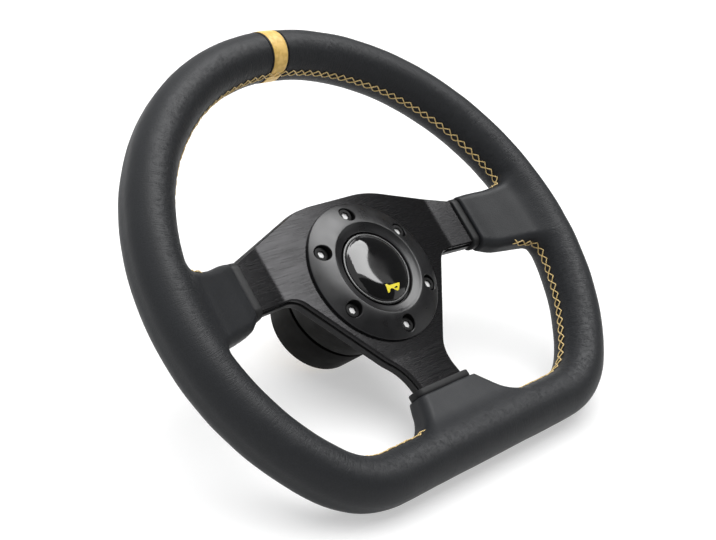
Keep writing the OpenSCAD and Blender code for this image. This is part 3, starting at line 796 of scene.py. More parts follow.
class Finishes:
    """All the finishes of the wheel, each with the name of its record's material slot."""

    LEATHER = Leather("rim_leather_wrap", "leather", (0.0145, 0.0156, 0.0176), wrinkled=True)
    SEAM = Leather("seam_leather", "leather", (0.009, 0.0092, 0.0098), pebble=0.7, depth=0.03)
    CUFF = Leather("cuff_leather_band", "cuff_leather", (0.0095, 0.0098, 0.0105), pebble=0.7,
                   depth=0.02, gloss=0.52, dull=0.6, specular=0.22)
    BAND = BandLeather("marker_band_leather", "band_leather", (0.88, 0.6, 0.2))
    THREAD = Thread("golden_thread", "thread", (0.78, 0.58, 0.24))
    PLATE = Brushed("black_brushed_plate", "brushed_plate", (0.0132, 0.0129, 0.0137),
                    grain=(50.0, 1150.0, 1150.0), metallic=0.5, gloss=0.08, dull=0.14, depth=0.045,
                    specular=0.16)
    STEEL = Brushed("dark_frame_steel", "dark_steel", (0.012, 0.012, 0.0125), metallic=0.4,
                    dull=0.5, gloss=0.38, specular=0.25)
    RING = Coated("satin_black_ring", "ring_black", (0.0115, 0.0115, 0.0125), metallic=0.1, rough=0.31,
                  spread=0.04, texture=0.25, depth=0.006, specular=0.36)
    # Also painted shade on the walls of the ring's sinks.
    BOLT_AND_SINK_SHADE = Coated("black_bolts", "bolt_black", (0.004, 0.004, 0.0042), rough=0.55, specular=0.12)
    # Painted highlight: the near-white floor of each black bolt's hexagon stands in for a glint of the
    # studio.
    SOCKET_GLINT = Coated("bright_sockets", "bolt_black", (0.82, 0.82, 0.82), rough=0.4)
    HOUSING = Coated("housing_black_plastic", "housing_plastic", (0.008, 0.008, 0.0085), rough=0.5,
                     specular=0.3)
    CAP = Coated("cap_satin_plastic", "cap_plastic", (0.008, 0.008, 0.0085), rough=0.24, spread=0.04,
                 texture=0.3, depth=0.003)
    DOME = Coated("dome_gloss_black", "dome_gloss", (0.004, 0.004, 0.0044), rough=0.06, spread=0.015,
                  depth=0.0)
    SIGN = Coated("sign_yellow_print", "sign_yellow", (0.92, 0.78, 0.03), rough=0.35)
    BRASS = Coated("contact_brass_bright", "contact_brass", (0.74, 0.52, 0.2), metallic=1.0, rough=0.28)
    SPRING = Coated("spring_wire", "spring_steel", (0.6, 0.6, 0.61), metallic=1.0, rough=0.3)
    HUB = Brushed("turned_hub_metal", "hub_metal", (0.5, 0.5, 0.51), grain=(2200.0, 60.0, 2200.0),
                  metallic=1.0, gloss=0.26, dull=0.38, depth=0.006)
    COVER = Coated("hub_matt_black", "hub_cover", (0.0045, 0.0043, 0.004), rough=0.55, texture=0.5,
                   depth=0.02, specular=0.045)
    CARRIER = Coated("carrier_dark_plastic", "carrier_plastic", (0.03, 0.027, 0.024), rough=0.55)
    FOAM = Coated("grey_foam", "foam", (0.06, 0.06, 0.063), rough=0.9, texture=0.8, depth=0.15)


# The rim and its skin


@dataclass(frozen=True)
class Levels:
    """Heights along the steering axis, in millimetres from the hub's rear seat."""

    frame: float = 56.8
    plate: float = 61.1
    face: float = 64.3
    rim: float = 73.5


@dataclass(frozen=True)
class RimPath:
    """Centreline of the rim: a top arc, two side arcs, two corner arcs and the bottom flat.

    Attributes:
        top_r: Radius of the top arc.
        side_r: Radius of the side arcs.
        corner_r: Radius of the corner arcs.
        drop: Drop of the arcs' centre below the hub's axis.
        flat_y: Height of the bottom flat.
        grip_r: Half of the grip's width.
        shift: Half of the flat part of the grip's section, along the axis.
    """

    top_r: float = 140.0
    side_r: float = 131.5
    corner_r: float = 49.0
    drop: float = 1.0
    flat_y: float = -107.0
    grip_r: float = 13.0
    shift: float = 2.5

    @property
    def side_x(self) -> float:
        """Distance of a side arc's centre from the middle."""
        return self.top_r - self.side_r

    @property
    def corner_y(self) -> float:
        """Height of a corner arc's centre."""
        return self.flat_y + self.corner_r

    @property
    def side_turn(self) -> float:
        """Angle that a side arc turns through, in radians."""
        return math.asin((-self.drop - self.corner_y) / (self.side_r - self.corner_r))

    @property
    def corner_x(self) -> float:
        """Distance of a corner arc's centre from the middle."""
        return self.side_x + (self.side_r - self.corner_r) * math.cos(self.side_turn)

    def unrolled(self, x: Array, y: Array) -> tuple[Array, Array]:
        """Finds where points lie against the centreline.

        On an arc the offset is the distance from the arc's centre less its radius, and the length
        is the radius times the angle, after the lengths of the arcs before it.

        Args:
            x: Across.
            y: Up.

        Returns:
            The offset outwards, and the length along the centreline from 12 o'clock.
        """
        x = np.abs(x)
        v = y + self.drop
        turn = self.side_turn
        top = (np.hypot(x, v) - self.top_r, self.top_r * np.arctan2(x, v))
        a = np.arctan2(-v, x - self.side_x)
        s1 = self.top_r * math.pi / 2
        side = (np.hypot(x - self.side_x, v) - self.side_r, s1 + self.side_r * a)
        c = np.arctan2(self.corner_y - y, x - self.corner_x)
        s2 = s1 + self.side_r * turn
        corner = (np.hypot(x - self.corner_x, y - self.corner_y) - self.corner_r,
                  s2 + self.corner_r * (c - turn))
        s3 = s2 + self.corner_r * (math.pi / 2 - turn)
        flat = (self.flat_y - y, s3 + self.corner_x - x)
        picks = [v >= 0, a <= turn, x > self.corner_x]
        return (np.select(picks, [top[0], side[0], corner[0]], flat[0]),
                np.select(picks, [top[1], side[1], corner[1]], flat[1]))


@dataclass(frozen=True)
class Sleeve:
    """Leather over the end of a spoke, as a loft of rounded rectangles along the spoke.

    Attributes:
        sections: Rows of distance from the axis, low and high across, low and high along the axis
            from the rim's middle plane.
        corner: Radius of the sections' corners.
        hem: Radius of the edge at the cuff.
    """

    sections: tuple[tuple[float, ...], ...]
    corner: float = 5.0
    hem: float = 0.9

    def tables(self) -> Array:
        """Smooths the sections along the spoke with two passes of a 4 mm running mean.

        Returns:
            Array with the distance in its first row and the four limits under it.
        """
        rows = np.asarray(self.sections, float)
        step, half, beyond = 0.25, 8, 12
        p = np.arange(rows[0, 0] - beyond, rows[-1, 0] + beyond, step)
        mean = np.ones(2 * half + 1) / (2 * half + 1)
        out = [p]
        for k in range(1, 5):
            line = np.interp(p, rows[:, 0], rows[:, k])
            for _ in range(2):
                line = np.convolve(np.pad(line, half, mode="edge"), mean, mode="valid")
            out.append(line)
        return np.array(out)

    def field(self, p: Array, q: Array, w: Array) -> Array:
        """Gives the signed distance to the sleeve.

        It is the distance to the rounded rectangle at p, cut off by a plane at either end, the
        first one with a rounded edge.

        Args:
            p: Distance along the spoke.
            q: Across it.
            w: Along the axis from the rim's middle plane.

        Returns:
            The distance, negative inside.
        """
        at, low, high, back, front = self.tables()
        q0, q1, w0, w1 = (np.interp(p, at, line) for line in (low, high, back, front))
        dq = np.abs(q - (q0 + q1) / 2) - (q1 - q0) / 2 + self.corner
        dw = np.abs(w - (w0 + w1) / 2) - (w1 - w0) / 2 + self.corner
        rect = box_distance(dq, dw) - self.corner
        cut = box_distance(rect + self.hem, self.sections[0][0] - p + self.hem) - self.hem
        return np.maximum(cut, p - self.sections[-1][0])


@dataclass(frozen=True)
class GripSkin:
    """The leather of rim and sleeves as one continuous skin.

    Attributes:
        path: Centreline of the rim.
        levels: Heights along the axis.
        side: Sleeve of a side arm.
        bottom: Sleeve of the bottom arm.
        fillet: Width of the fillet between a sleeve and the rim.
        cell: Size of the cells from which the skin is made.
        low: Lower corner of the box of cells, its height from the rim's middle plane.
        high: Upper corner of the box.
        waves: Number of waves in the hand of the wrapping.
        lengths: Shortest and longest of the waves.
        hand: Height of the longest wave.
        rays: Number of rays that look for the skin's edge in a window.
    """

    path: RimPath = RimPath()
    levels: Levels = Levels()
    side: Sleeve = Sleeve((
        (90.2, -6.4, 28.4, -18.1, -5.3), (97.2, -11.2, 27.4, -16.0, -2.0),
        (108.2, -13.8, 25.0, -13.8, 2.0), (118.2, -16.0, 24.4, -11.5, 6.0),
        (127.2, -18.6, 26.0, -10.0, 9.0), (133.2, -22.2, 31.0, -10.0, 10.0),
    ))
    bottom: Sleeve = Sleeve((
        (75.2, -23.0, 23.0, -15.0, -0.8), (80.0, -26.0, 26.0, -14.0, 1.5),
        (86.0, -29.5, 29.5, -12.0, 4.0), (92.0, -35.0, 35.0, -11.0, 6.5),
        (98.2, -42.0, 42.0, -10.0, 8.5),
    ))
    fillet: float = 6.5
    cell: float = 1.4
    low: Triple = (-156.0, -123.0, -21.0)
    high: Triple = (156.0, 155.5, 18.0)
    waves: int = 14
    lengths: Pair = (9.0, 34.0)
    hand: float = 0.032
    rays: int = 900

    def unevenness(self, points: Array) -> Array:
        """Sums slow sine waves in fixed random directions, for the hand of the wrapping.

        Args:
            points: Array of shape (..., 3).

        Returns:
            Height in millimetres, within about 0.2.
        """
        rng = np.random.default_rng(7)
        total = np.zeros(points.shape[:-1])
        for _ in range(self.waves):
            way = rng.normal(size=3)
            way /= np.linalg.norm(way)
            length, phase = rng.uniform(*self.lengths), rng.uniform(0, 2 * math.pi)
            total += np.sin(points @ (way * 2 * math.pi / length) + phase) * length / self.lengths[1]
        return total * self.hand

    def field(self, points: Array) -> Array:
        """Gives the signed distance to the skin.

        The rim is the distance to its centreline in the plane of the section, less the grip's
        radius beyond the flat of the section. The sleeves join it with a fillet.

        Args:
            points: Array of shape (..., 3) in the disc frame.

        Returns:
            The distance, negative inside.
        """
        x, y, w = points[..., 0], points[..., 1], points[..., 2] - self.levels.rim
        offset, _ = self.path.unrolled(x, y)
        rim = np.hypot(offset, np.maximum(np.abs(w) - self.path.shift, 0)) - self.path.grip_r
        return smooth_min(rim, self.sleeves(points), self.fillet) - self.unevenness(points)

    def sleeves(self, points: Array) -> Array:
        """Gives the signed distance to the nearest of the three sleeves."""
        x, y, w = points[..., 0], points[..., 1], points[..., 2] - self.levels.rim
        return np.minimum(self.side.field(np.abs(x), y, w), self.bottom.field(-y, x, w))

    def slope(self, points: Array) -> Array:
        """Gives the field's gradient by central differences over 0.1 mm.

        Args:
            points: Array of shape (..., 3).

        Returns:
            The gradients, in the points' shape.
        """
        out = np.empty(points.shape)
        for k in range(3):
            step = np.zeros(3)
            step[k] = 0.05
            out[..., k] = (self.field(points + step) - self.field(points - step)) / 0.1
        return out

    def pulled(self, points: Array, steps: int = 4) -> tuple[Array, Array]:
        """Moves points on to the skin by Newton steps p - f g / (g g).

        Args:
            points: Array of shape (n, 3).
            steps: Number of steps.

        Returns:
            The moved points and the skin's normals there.
        """
        for _ in range(steps):
            g = self.slope(points)
            far = self.field(points) / np.maximum((g * g).sum(-1), 0.2)
            points = points - np.clip(far, -1.5, 1.5)[..., None] * g
        g = self.slope(points)
        return points, unit(g)

    def surface(self) -> tuple[Surface, Array]:
        """Meshes the skin: one point in each cell that the surface crosses, one quad at each
        grid edge that it crosses, and then Newton steps on to the surface.

        Returns:
            The surface, and the normals of its points.
        """
        low = np.array(self.low) + [0, 0, self.levels.rim]
        high = np.array(self.high) + [0, 0, self.levels.rim]
        count = np.ceil((high - low) / self.cell).astype(int) + 1
        axes = [low[k] + self.cell * np.arange(count[k]) for k in range(3)]
        value = self.field(np.stack(np.meshgrid(*axes, indexing="ij"), -1))
        inside = value < 0
        corner = np.array([(i, j, k) for i in (0, 1) for j in (0, 1) for k in (0, 1)])
        pieces = [inside[i:count[0] - 1 + i, j:count[1] - 1 + j, k:count[2] - 1 + k] for i, j, k in corner]
        total = sum(p.astype(np.int8) for p in pieces)
        cells = np.argwhere((total > 0) & (total < 8))
        at = value[tuple((cells[:, None] + corner).transpose(2, 0, 1))]
        pairs = [(i, j) for i in range(8) for j in range(i + 1, 8)]
        edges = [(i, j) for i, j in pairs if np.abs(corner[i] - corner[j]).sum() == 1]
        a, b = np.array(edges).T
        mixed = (at[:, a] < 0) != (at[:, b] < 0)
        t = np.where(mixed, at[:, a] / np.where(mixed, at[:, a] - at[:, b], 1), 0)
        spots = corner[a] + t[..., None] * (corner[b] - corner[a])
        mean = (spots * mixed[..., None]).sum(1) / mixed.sum(1)[:, None]
        points = low + (cells + mean) * self.cell
        number = np.full(count - 1, -1, np.int64)
        number[tuple(cells.T)] = np.arange(len(cells))
        quads = []
        for k in range(3):
            u, v = (k + 1) % 3, (k + 2) % 3
            first = np.take(inside, np.arange(count[k] - 1), axis=k)
            second = np.take(inside, np.arange(1, count[k]), axis=k)
            hit = np.argwhere(first != second)
            hit = hit[(hit[:, u] > 0) & (hit[:, v] > 0)]
            du, dv = np.eye(3, dtype=int)[u], np.eye(3, dtype=int)[v]
            quad = np.stack([number[tuple((hit - s).T)] for s in (du * 0, du, du + dv, dv)], -1)
            flip = ~first[tuple(hit.T)]
            quad[flip] = quad[flip, ::-1]
            quads.append(quad[(quad >= 0).all(1)])
        points, normals = self.pulled(points)
        offset, along = self.path.unrolled(points[:, 0], points[:, 1])
        angle = np.arctan2(np.abs(points[:, 2] - self.levels.rim), -offset)
        made = Surface(points, [np.concatenate(quads)],
                       {"along": along, "across": np.abs(angle) * self.path.grip_r,
                        "wrap": np.clip(self.sleeves(points) / 7, 0, 1)})
        return made.outward(), normals

    def window_line(self, centre: Pair, start: float, end: float, step: float) -> Array:
        """Follows the skin's edge round a window, in the rim's middle plane.

        Rays leave the centre at even angles, and each one's first crossing is found by halving.

        Args:
            centre: A point in the window.
            start: Angle of the first ray in degrees.
            end: Angle of the last ray.
            step: Distance between the points returned.

        Returns:
            Points of the edge, of shape (n, 3).
        """
        angle = np.radians(np.linspace(start, end, self.rays))
        way = np.stack([np.cos(angle), np.sin(angle), 0 * angle], -1)
        middle = np.array([*centre, self.levels.rim])
        reach = np.arange(4.0, 170.0, 1.5)
        value = self.field(middle + way[:, None] * reach[None, :, None])
        first = np.argmax(value < 0, axis=1)
        near, far = reach[np.maximum(first - 1, 0)], reach[first]
        for _ in range(18):
            half = (near + far) / 2
            out = self.field(middle + way * half[:, None]) > 0
            near, far = np.where(out, half, near), np.where(out, far, half)
        return resampled(middle + way * near[:, None], step)

    def build(self) -> None:
        """Makes the skin and puts it in place of the leather and the three sleeves."""
        surface, normals = self.surface()
        place("grip_leather", surface, Finishes.LEATHER, normals=normals,
              replaces=("rim_leather", "sleeve_right", "sleeve_left", "sleeve_bottom"))


@dataclass(frozen=True)
class StitchRun:
    """One run of cross stitches over a seam.

    Attributes:
        name: Name of the run.
        node: CAD node that the run stands for.
        centre: Point in the window from which the run is seen.
        start: Angle of the run's start in degrees, round that point.
        end: Angle of its end.
        drift: How far the seam lies towards the driver at its start and its end.
    """

    name: str
    node: str
    centre: Pair
    start: float
    end: float
    drift: Pair = (0.0, 0.0)


@dataclass(frozen=True)
class Stitching:
    """Seam edges and the two threads that cross over them.

    Attributes:
        skin: The leather on which they lie.
        pitch: Distance from one crossing to the next.
        half: Half of the stitches' width.
        thread: Diameter of the thread.
        lift: Height of the thread's middle over the skin.
        edge: Half of the seam edges' width.
        bottom: How far the seam's underside lies in the leather.
        step: Distance between the points of a run.
        ridge: Height of the seam edges, and how far they start below the skin.
        groove: Depth and half width of the groove between them.
        hole: Depth of the dip round a needle hole.
        sharp: Roundness of the zigzag's turns, where 1 is sharp.
        cross: Heights that the upper and the lower thread add where they cross.
        dive: How far a thread goes into the leather at a turn.
        runs: The three runs: over the top, and down each side.
    """

    skin: GripSkin = GripSkin()
    pitch: float = 6.0
    half: float = 2.2
    thread: float = 0.66
    lift: float = 0.58
    edge: float = 3.0
    bottom: float = 0.55
    step: float = 0.45
    ridge: Pair = (0.46, 0.12)
    groove: Pair = (0.42, 0.42)
    hole: float = 0.55
    sharp: float = 0.93
    cross: Pair = (0.34, -0.1)
    dive: float = 0.45
    runs: tuple[StitchRun, ...] = (
        StitchRun("top", "stitching_top", (0.0, 62.0), -18.2, 198.2, (0.0, 2.6)),
        StitchRun("right", "stitching_right", (72.0, -52.0), 49.0, -129.0),
        StitchRun("left", "stitching_left", (-72.0, -52.0), 147.0, 312.0, (1.0, 2.2)),
    )

    def laid(self, line: Array, side: Array, lift: Array) -> tuple[Array, Array]:
        """Lays points on the skin beside a line and lifts them off it.

        Args:
            line: Points of the line.
            side: Distance of each point from the line, along the axis.
            lift: Height of each point over the skin.

        Returns:
            The points and the skin's normals there.
        """
        shifted = line.copy()
        shifted[..., 2] += side
        flat, normal = self.skin.pulled(shifted.reshape(-1, 3))
        flat, normal = flat.reshape(line.shape), normal.reshape(line.shape)
        return flat + normal * lift[..., None], normal

    def seam(self, line: Array, far: Array) -> Surface:
        """Makes the two turned edges of the leather under the stitches.

        Their height over the skin falls to a groove in the middle and below the skin at the outer
        sides, and dips where a thread goes in, each dip a bell curve.

        Args:
            line: Points of the seam.
            far: Distance along it.

        Returns:
            A closed strip.
        """
        v = np.linspace(-self.edge, self.edge, 23)
        s, side = far[:, None], v[None, :] + 0 * far[:, None]
        high, below = self.ridge
        rise = high * np.clip(1 - (np.abs(side) / self.edge) ** 5, 0, 1) - below
        groove = self.groove[0] * np.exp(-((side / self.groove[1]) ** 2))
        phase = np.mod(s, self.pitch) - self.pitch / 2
        hole = self.hole * np.exp(-(phase**2) / 0.7 - ((np.abs(side) - self.half) / 0.55) ** 2)
        ends = np.clip(np.minimum(s, far[-1] - s) / 3.0, 0, 1)
        lift = (rise - groove - hole) * ends - 0.25 * (1 - ends)
        grid = np.repeat(line[:, None], len(v), 1)
        top, _ = self.laid(grid, side, lift)
        under, _ = self.laid(grid, side, np.full(side.shape, -self.bottom))
        ring = np.concatenate([top, under[:, ::-1]], 1)
        return capped_grid(ring, under[0].mean(0), under[-1].mean(0))

    def strand(self, line: Array, far: Array, sign: int) -> Surface:
        """Makes one thread as a tube of eight sides.

        Its place across is a rounded zigzag, asin(k sin(pi s / pitch)) with the sharpness k, so it
        meets the other thread once a pitch. It passes over or under there, and dives into the
        leather at the turns.

        Args:
            line: Points of the seam.
            far: Distance along it.
            sign: Side to which the thread starts, and 1 for the upper one.

        Returns:
            A closed tube.
        """
        wave = self.sharp * np.sin(math.pi * far / self.pitch + math.pi / 2)
        zig = np.arcsin(wave) / math.asin(self.sharp)
        side = sign * self.half * zig
        cross = self.cross[0 if sign > 0 else 1] * np.exp(-((side / 0.8) ** 2))
        dive = self.dive * np.clip((np.abs(zig) - 0.86) / 0.14, 0, 1) ** 2
        ends = np.clip(np.minimum(far, far[-1] - far) / 2.5, 0, 1)
        lift = (self.lift + cross - dive) * ends - 0.7 * (1 - ends)
        spine, normal = self.laid(line, side, lift)
        ahead = unit(np.gradient(spine, axis=0))
        out = unit(normal - (normal * ahead).sum(1, keepdims=True) * ahead)
        wide = np.cross(ahead, out)
        a = circle(8)
        around = np.cos(a)[:, None] * out[:, None] + np.sin(a)[:, None] * wide[:, None]
        made = capped_grid(spine[:, None] + self.thread / 2 * around, spine[0], spine[-1])
        turns = np.tile(a / (2 * math.pi), len(spine))
        made.values = {"along": np.concatenate([np.repeat(far, 8), far[[0, -1]]]),
                       "around": np.concatenate([turns, [0, 0]])}
        return made

    def build(self) -> None:
        """Makes a seam and a pair of threads for each run."""
        for run in self.runs:
            line = self.skin.window_line(run.centre, run.start, run.end, self.step)
            line[:, 2] += np.linspace(*run.drift, len(line))
            line, _ = self.skin.pulled(line)
            far = self.step * np.arange(len(line))
            far = far * (round(far[-1] / self.pitch) * self.pitch / far[-1])
            place(f"seam_{run.name}", self.seam(line, far), Finishes.SEAM, crease=60)
            threads = Surface.joined([self.strand(line, far, sign) for sign in (1, -1)])
            place(f"threads_{run.name}", threads, Finishes.THREAD, replaces=(run.node,), crease=80)


@dataclass(frozen=True)
class MarkerBand:
    """Golden band at 12 o'clock with its two turned edges, coloured dark partly as painted shade of the seam
    grooves.

    Attributes:
        skin: The leather on which it lies.
        half: Half of the golden width.
        height: Height over the leather.
        edge: Width of a dark edge, whose dark is partly painted shade of its groove.
    """

    skin: GripSkin = GripSkin()
    half: float = 5.6
    height: float = 0.32
    edge: float = 1.4

    def build(self) -> None:
        """Carries the band's profile round the grip's section.

        A point of the profile lies at the angle of its distance over the top arc's radius from 12
        o'clock, is moved on to the skin and then lifted off it by its height.
        """
        h, e, t = self.half, self.edge, self.height
        half = [(0.0, t + 0.04), (h - 1.2, t), (h - 0.5, t * 0.9), (h - 0.2, t * 0.3), (h, -0.45),
                (h + 0.35, -0.1), (h + e * 0.6, t * 0.6), (h + e - 0.2, t * 0.4), (h + e, -0.2),
                (h + e, -0.6)]
        right = np.array(half)
        left = right[::-1] * [-1, 1]
        profile = np.concatenate([left, right[1:], [[3.0, -0.6], [-3.0, -0.6]]])
        path = self.skin.path
        a = circle(96)
        out = path.grip_r * np.cos(a)
        up = path.grip_r * np.sin(a) + path.shift * np.clip(np.sin(a) * 5, -1, 1)
        lean = profile[:, 0][:, None] / path.top_r
        r = path.top_r + out[None, :] + 0 * lean
        line = np.stack([r * np.sin(lean), r * np.cos(lean) - path.drop,
                         self.skin.levels.rim + up[None, :] + 0 * lean], -1)
        flat, normal = self.skin.pulled(line.reshape(-1, 3))
        grid = flat.reshape(line.shape) + normal.reshape(line.shape) * profile[:, 1][:, None, None]
        made = capped_grid(grid, None, None)
        made.values = {"across": np.repeat(profile[:, 0], 96)}
        place("marker_band", made, Finishes.BAND, replaces=("centre_band",), crease=70)


@dataclass(frozen=True)
class Cuff:
    """Size and place of one cuff, along its spoke.

    Attributes:
        name: Side of the cuff.
        turn: Rows that turn the spoke's own x, y and z into the wheel's.
        start: Distance from the axis.
        length: Length along the spoke.
        across: Lower and upper limit across the spoke.
        depth: Rear and front limit along the axis, from the rim's middle plane.
    """

    name: str
    turn: tuple[tuple[int, int, int], ...]
    start: float
    length: float
    across: Pair
    depth: Pair


@dataclass(frozen=True)
class Cuffs:
    """Narrow leather bands round the spokes at the sleeves' ends.

    Attributes:
        levels: Heights along the axis.
        corner: Radius of the corners.
        ease: Radius of the edge on the plate's side.
        bands: The three cuffs.
    """

    levels: Levels = Levels()
    corner: float = 5.0
    ease: float = 0.7
    bands: tuple[Cuff, ...] = (
        Cuff("right", ((1, 0, 0), (0, 1, 0), (0, 0, 1)), 84.6, 5.6, (-4.8, 28.2), (-18.5, -6.7)),
        Cuff("left", ((-1, 0, 0), (0, 1, 0), (0, 0, 1)), 84.6, 5.6, (-4.8, 28.2), (-18.5, -6.0)),
        Cuff("bottom", ((0, 1, 0), (-1, 0, 0), (0, 0, 1)), 71.0, 4.6, (-21.4, 21.4), (-14.5, -2.5)),
    )

    def block(self, cuff: Cuff) -> Surface:
        """Makes a band as a stack of rounded rectangles with rounded ends.

        A rectangle's points lie at the sign of cos a times the half width less the corner's
        radius r, plus r cos a, and the same with sin a for the other side.

        Args:
            cuff: Size and place of the band.

        Returns:
            The closed surface.
        """
        start, length = cuff.start, cuff.length
        t = np.linspace(0, math.pi / 2, 5)
        profile = [(start, 4.0)]
        profile += [(start + self.ease * (1 - math.cos(u)), self.ease * (1 - math.sin(u))) for u in t]
        profile += [(start + length * 0.55, -0.12), (start + length - 0.9, -0.05),
                    (start + length - 0.3, 0.35), (start + length + 1.0, 0.7)]
        p, inset = np.array(profile).T
        a = (np.arange(64) + 0.5) * 2 * math.pi / 64
        r = np.maximum(self.corner - inset * 0.6, 0.6)[:, None]
        sides = []
        for (low, high), wave in ((cuff.across, np.cos(a)), (cuff.depth, np.sin(a))):
            span = ((high - low) / 2 - inset)[:, None] - r
            sides.append(np.sign(wave) * span + r * wave + (low + high) / 2)
        grid = np.stack([p[:, None] + 0 * sides[0], sides[0], sides[1] + self.levels.rim], -1)
        grid = grid @ np.array(cuff.turn).T
        return plugged(grid)

    def build(self) -> None:
        """Makes the three cuffs."""
        for cuff in self.bands:
            place(f"cuff_band_{cuff.name}", self.block(cuff), Finishes.CUFF,
                  replaces=(f"cuff_{cuff.name}",), crease=50)


# The spokes


@dataclass(frozen=True)
class Spokes:
    """The two bent sheets of the three spokes: the brushed plate and the frame behind it.

    Attributes:
        levels: Heights along the axis.
        top: Height of the upper edge.
        knee: Distance of the upper corner from the middle.
        knee_r: Radius of that corner.
        arm: Distance of the cuff from the middle.
        arm_high: Height of an arm's upper edge at the cuff.
        arm_low: Height of its lower edge there.
        crotch: Inner corner between an arm and the bottom leg.
        crotch_r: Radius of that corner.
        leg: Half of the leg's width.
        leg_from: Distance below the axis where the leg's sides become straight.
        leg_r: Radius of that bend in the outline.
        ends: Distances of the ends inside the sleeves, sideways and down.
        bends: Distances of the bends from the axis, sideways and down.
        tilts: Tilts of the arms and the leg towards the driver, in degrees.
        hole: Radius of the hole for the horn button.
        ease: Half of the distance over which a bend is eased.
        bevel: Width of the plate's bevel.
        lip: How far the frame stands out beyond the plate.
    """

    levels: Levels = Levels()
    top: float = 47.3
    knee: float = 27.0
    knee_r: float = 64.0
    arm: float = 84.6
    arm_high: float = 27.0
    arm_low: float = -2.2
    crotch: Pair = (58.0, -0.4)
    crotch_r: float = 12.0
    leg: float = 16.0
    leg_from: float = 58.3
    leg_r: float = 25.0
    ends: Pair = (92.2, 81.0)
    bends: Pair = (66.4, 50.0)
    tilts: Pair = (3.0, 13.0)
    hole: float = 24.7
    ease: float = 1.5
    bevel: float = 0.7
    lip: float = 0.8

    def rise(self, p: Array) -> Array:
        """Gives how far the bent sheet has come forward: the tilt's tangent times the distance
        beyond the bend, eased as a parabola near it.

        Args:
            p: Points of the flat sheet, of shape (..., 2).

        Returns:
            The rise of each point.
        """
        total = np.zeros(p.shape[:-1])
        for far, bend, tilt in ((np.abs(p[..., 0]), self.bends[0], self.tilts[0]),
                                (-p[..., 1], self.bends[1], self.tilts[1])):
            d, e = far - bend, self.ease
            soft = np.where(d < -e, 0, np.where(d > e, d, (d + e) ** 2 / (4 * e)))
            total = total + soft * math.tan(math.radians(tilt))
        return total

    def outline(self) -> tuple[Array, Array]:
        """Works out the sheets' outline, with each corner replaced by its tangent arc, which
        starts the radius times the tangent of half the turn before the corner.

        Returns:
            Points about 1.2 mm apart, anticlockwise, and their outward normals.
        """
        slope = (self.top - self.arm_high) / (self.knee - self.arm)
        tip_high = self.arm_high + slope * (self.ends[0] - self.arm)
        low_slope = (self.arm_low - self.crotch[1]) / (self.arm - self.crotch[0])
        tip_low = self.arm_low + low_slope * (self.ends[0] - self.arm)
        corners = [((self.leg, -self.ends[1]), 0), ((self.leg, -self.leg_from), self.leg_r),
                   (self.crotch, self.crotch_r), ((self.ends[0], tip_low), 0),
                   ((self.ends[0], tip_high), 0), ((self.knee, self.top), self.knee_r)]
        corners += [((-c[0][0], c[0][1]), c[1]) for c in reversed(corners)]
        p = np.array([c[0] for c in corners])
        line = []
        for i, (corner, radius) in enumerate(corners):
            if radius == 0:
                line.append(p[i][None])
                continue
            u, v = unit(p[i] - p[i - 1]), unit(p[(i + 1) % len(p)] - p[i])
            turn = math.atan2(u[0] * v[1] - u[1] * v[0], float(u @ v))
            start = p[i] - u * radius * math.tan(abs(turn) / 2)
            middle = start + math.copysign(radius, turn) * np.array([-u[1], u[0]])
            a = np.linspace(0, turn, 24)
            arm = start - middle
            line.append(middle + np.stack([arm[0] * np.cos(a) - arm[1] * np.sin(a),
                                           arm[0] * np.sin(a) + arm[1] * np.cos(a)], -1))
        points = resampled(np.concatenate(line), 1.2, closed=True)
        ahead = unit(np.roll(points, -1, 0) - np.roll(points, 1, 0))
        return points, np.stack([ahead[:, 1], -ahead[:, 0]], -1)

    def filled(self, edge: Array, hole: Array) -> tuple[Array, Array]:
        """Fills an outline round a hole with triangles that follow the bends.

        Args:
            edge: Points of the outline.
            hole: Points of the hole's edge.

        Returns:
            The plane points, with the given ones first, and the triangles.
        """
        extra = []
        for s in np.linspace(-self.ease, self.ease, 5):
            across = np.arange(-2.0, 36.0, 1.3)
            extra += [np.stack([0 * across + side * (self.bends[0] + s), across], -1) for side in (-1, 1)]
            wide = np.arange(-26.0, 26.1, 1.3)
            extra.append(np.stack([wide, 0 * wide - self.bends[1] - s], -1))
        inner = np.concatenate(extra)
        clear = np.linalg.norm(inner[:, None] - edge[None], axis=2).min(1) > 0.7
        flat, tris = triangulated(edge, hole, inner[within(edge, inner) & clear])
        middle = flat[tris].mean(1)
        kept = (np.linalg.norm(middle, axis=1) > self.hole * 0.99) & within(edge, middle)
        return flat, tris[kept]

    def sheet(self, rows: Sequence[Pair]) -> Surface:
        """Builds a bent sheet from its rim's rows.

        Args:
            rows: Offset outwards and height of each row, from the rear to the front.

        Returns:
            The closed surface: the rim, the hole's wall and two filled faces.
        """
        points, normals = self.outline()
        a = -circle(96)
        hole = self.hole * np.stack([np.cos(a), np.sin(a)], -1)
        parts = []
        for base, ways in ((points, normals), (hole, None)):
            levels = []
            for g, z in rows:
                flat = base if ways is None else base + g * ways
                levels.append(raised(flat, z + self.rise(flat)))
            quads = grid_faces(len(rows), len(base), False, True)[:, ::-1]
            parts.append(Surface(np.concatenate(levels), [quads]))
        for (g, z), front in ((rows[0], False), (rows[-1], True)):
            flat, tris = self.filled(points + g * normals, hole)
            made = raised(flat, z + self.rise(flat))
            parts.append(Surface(made, [tris if front else tris[:, ::-1]]))
        return self.merged(Surface.joined(parts)).outward()

    @staticmethod
    def merged(surface: Surface) -> Surface:
        """Merges points that agree to 0.001 mm.

        Args:
            surface: A surface in parts that touch.

        Returns:
            The same faces on shared points.
        """
        rounded = np.round(surface.points, 3)
        _, first, same = np.unique(rounded, axis=0, return_index=True, return_inverse=True)
        same = same.ravel()
        return Surface(surface.points[first], [same[f] for f in surface.faces])

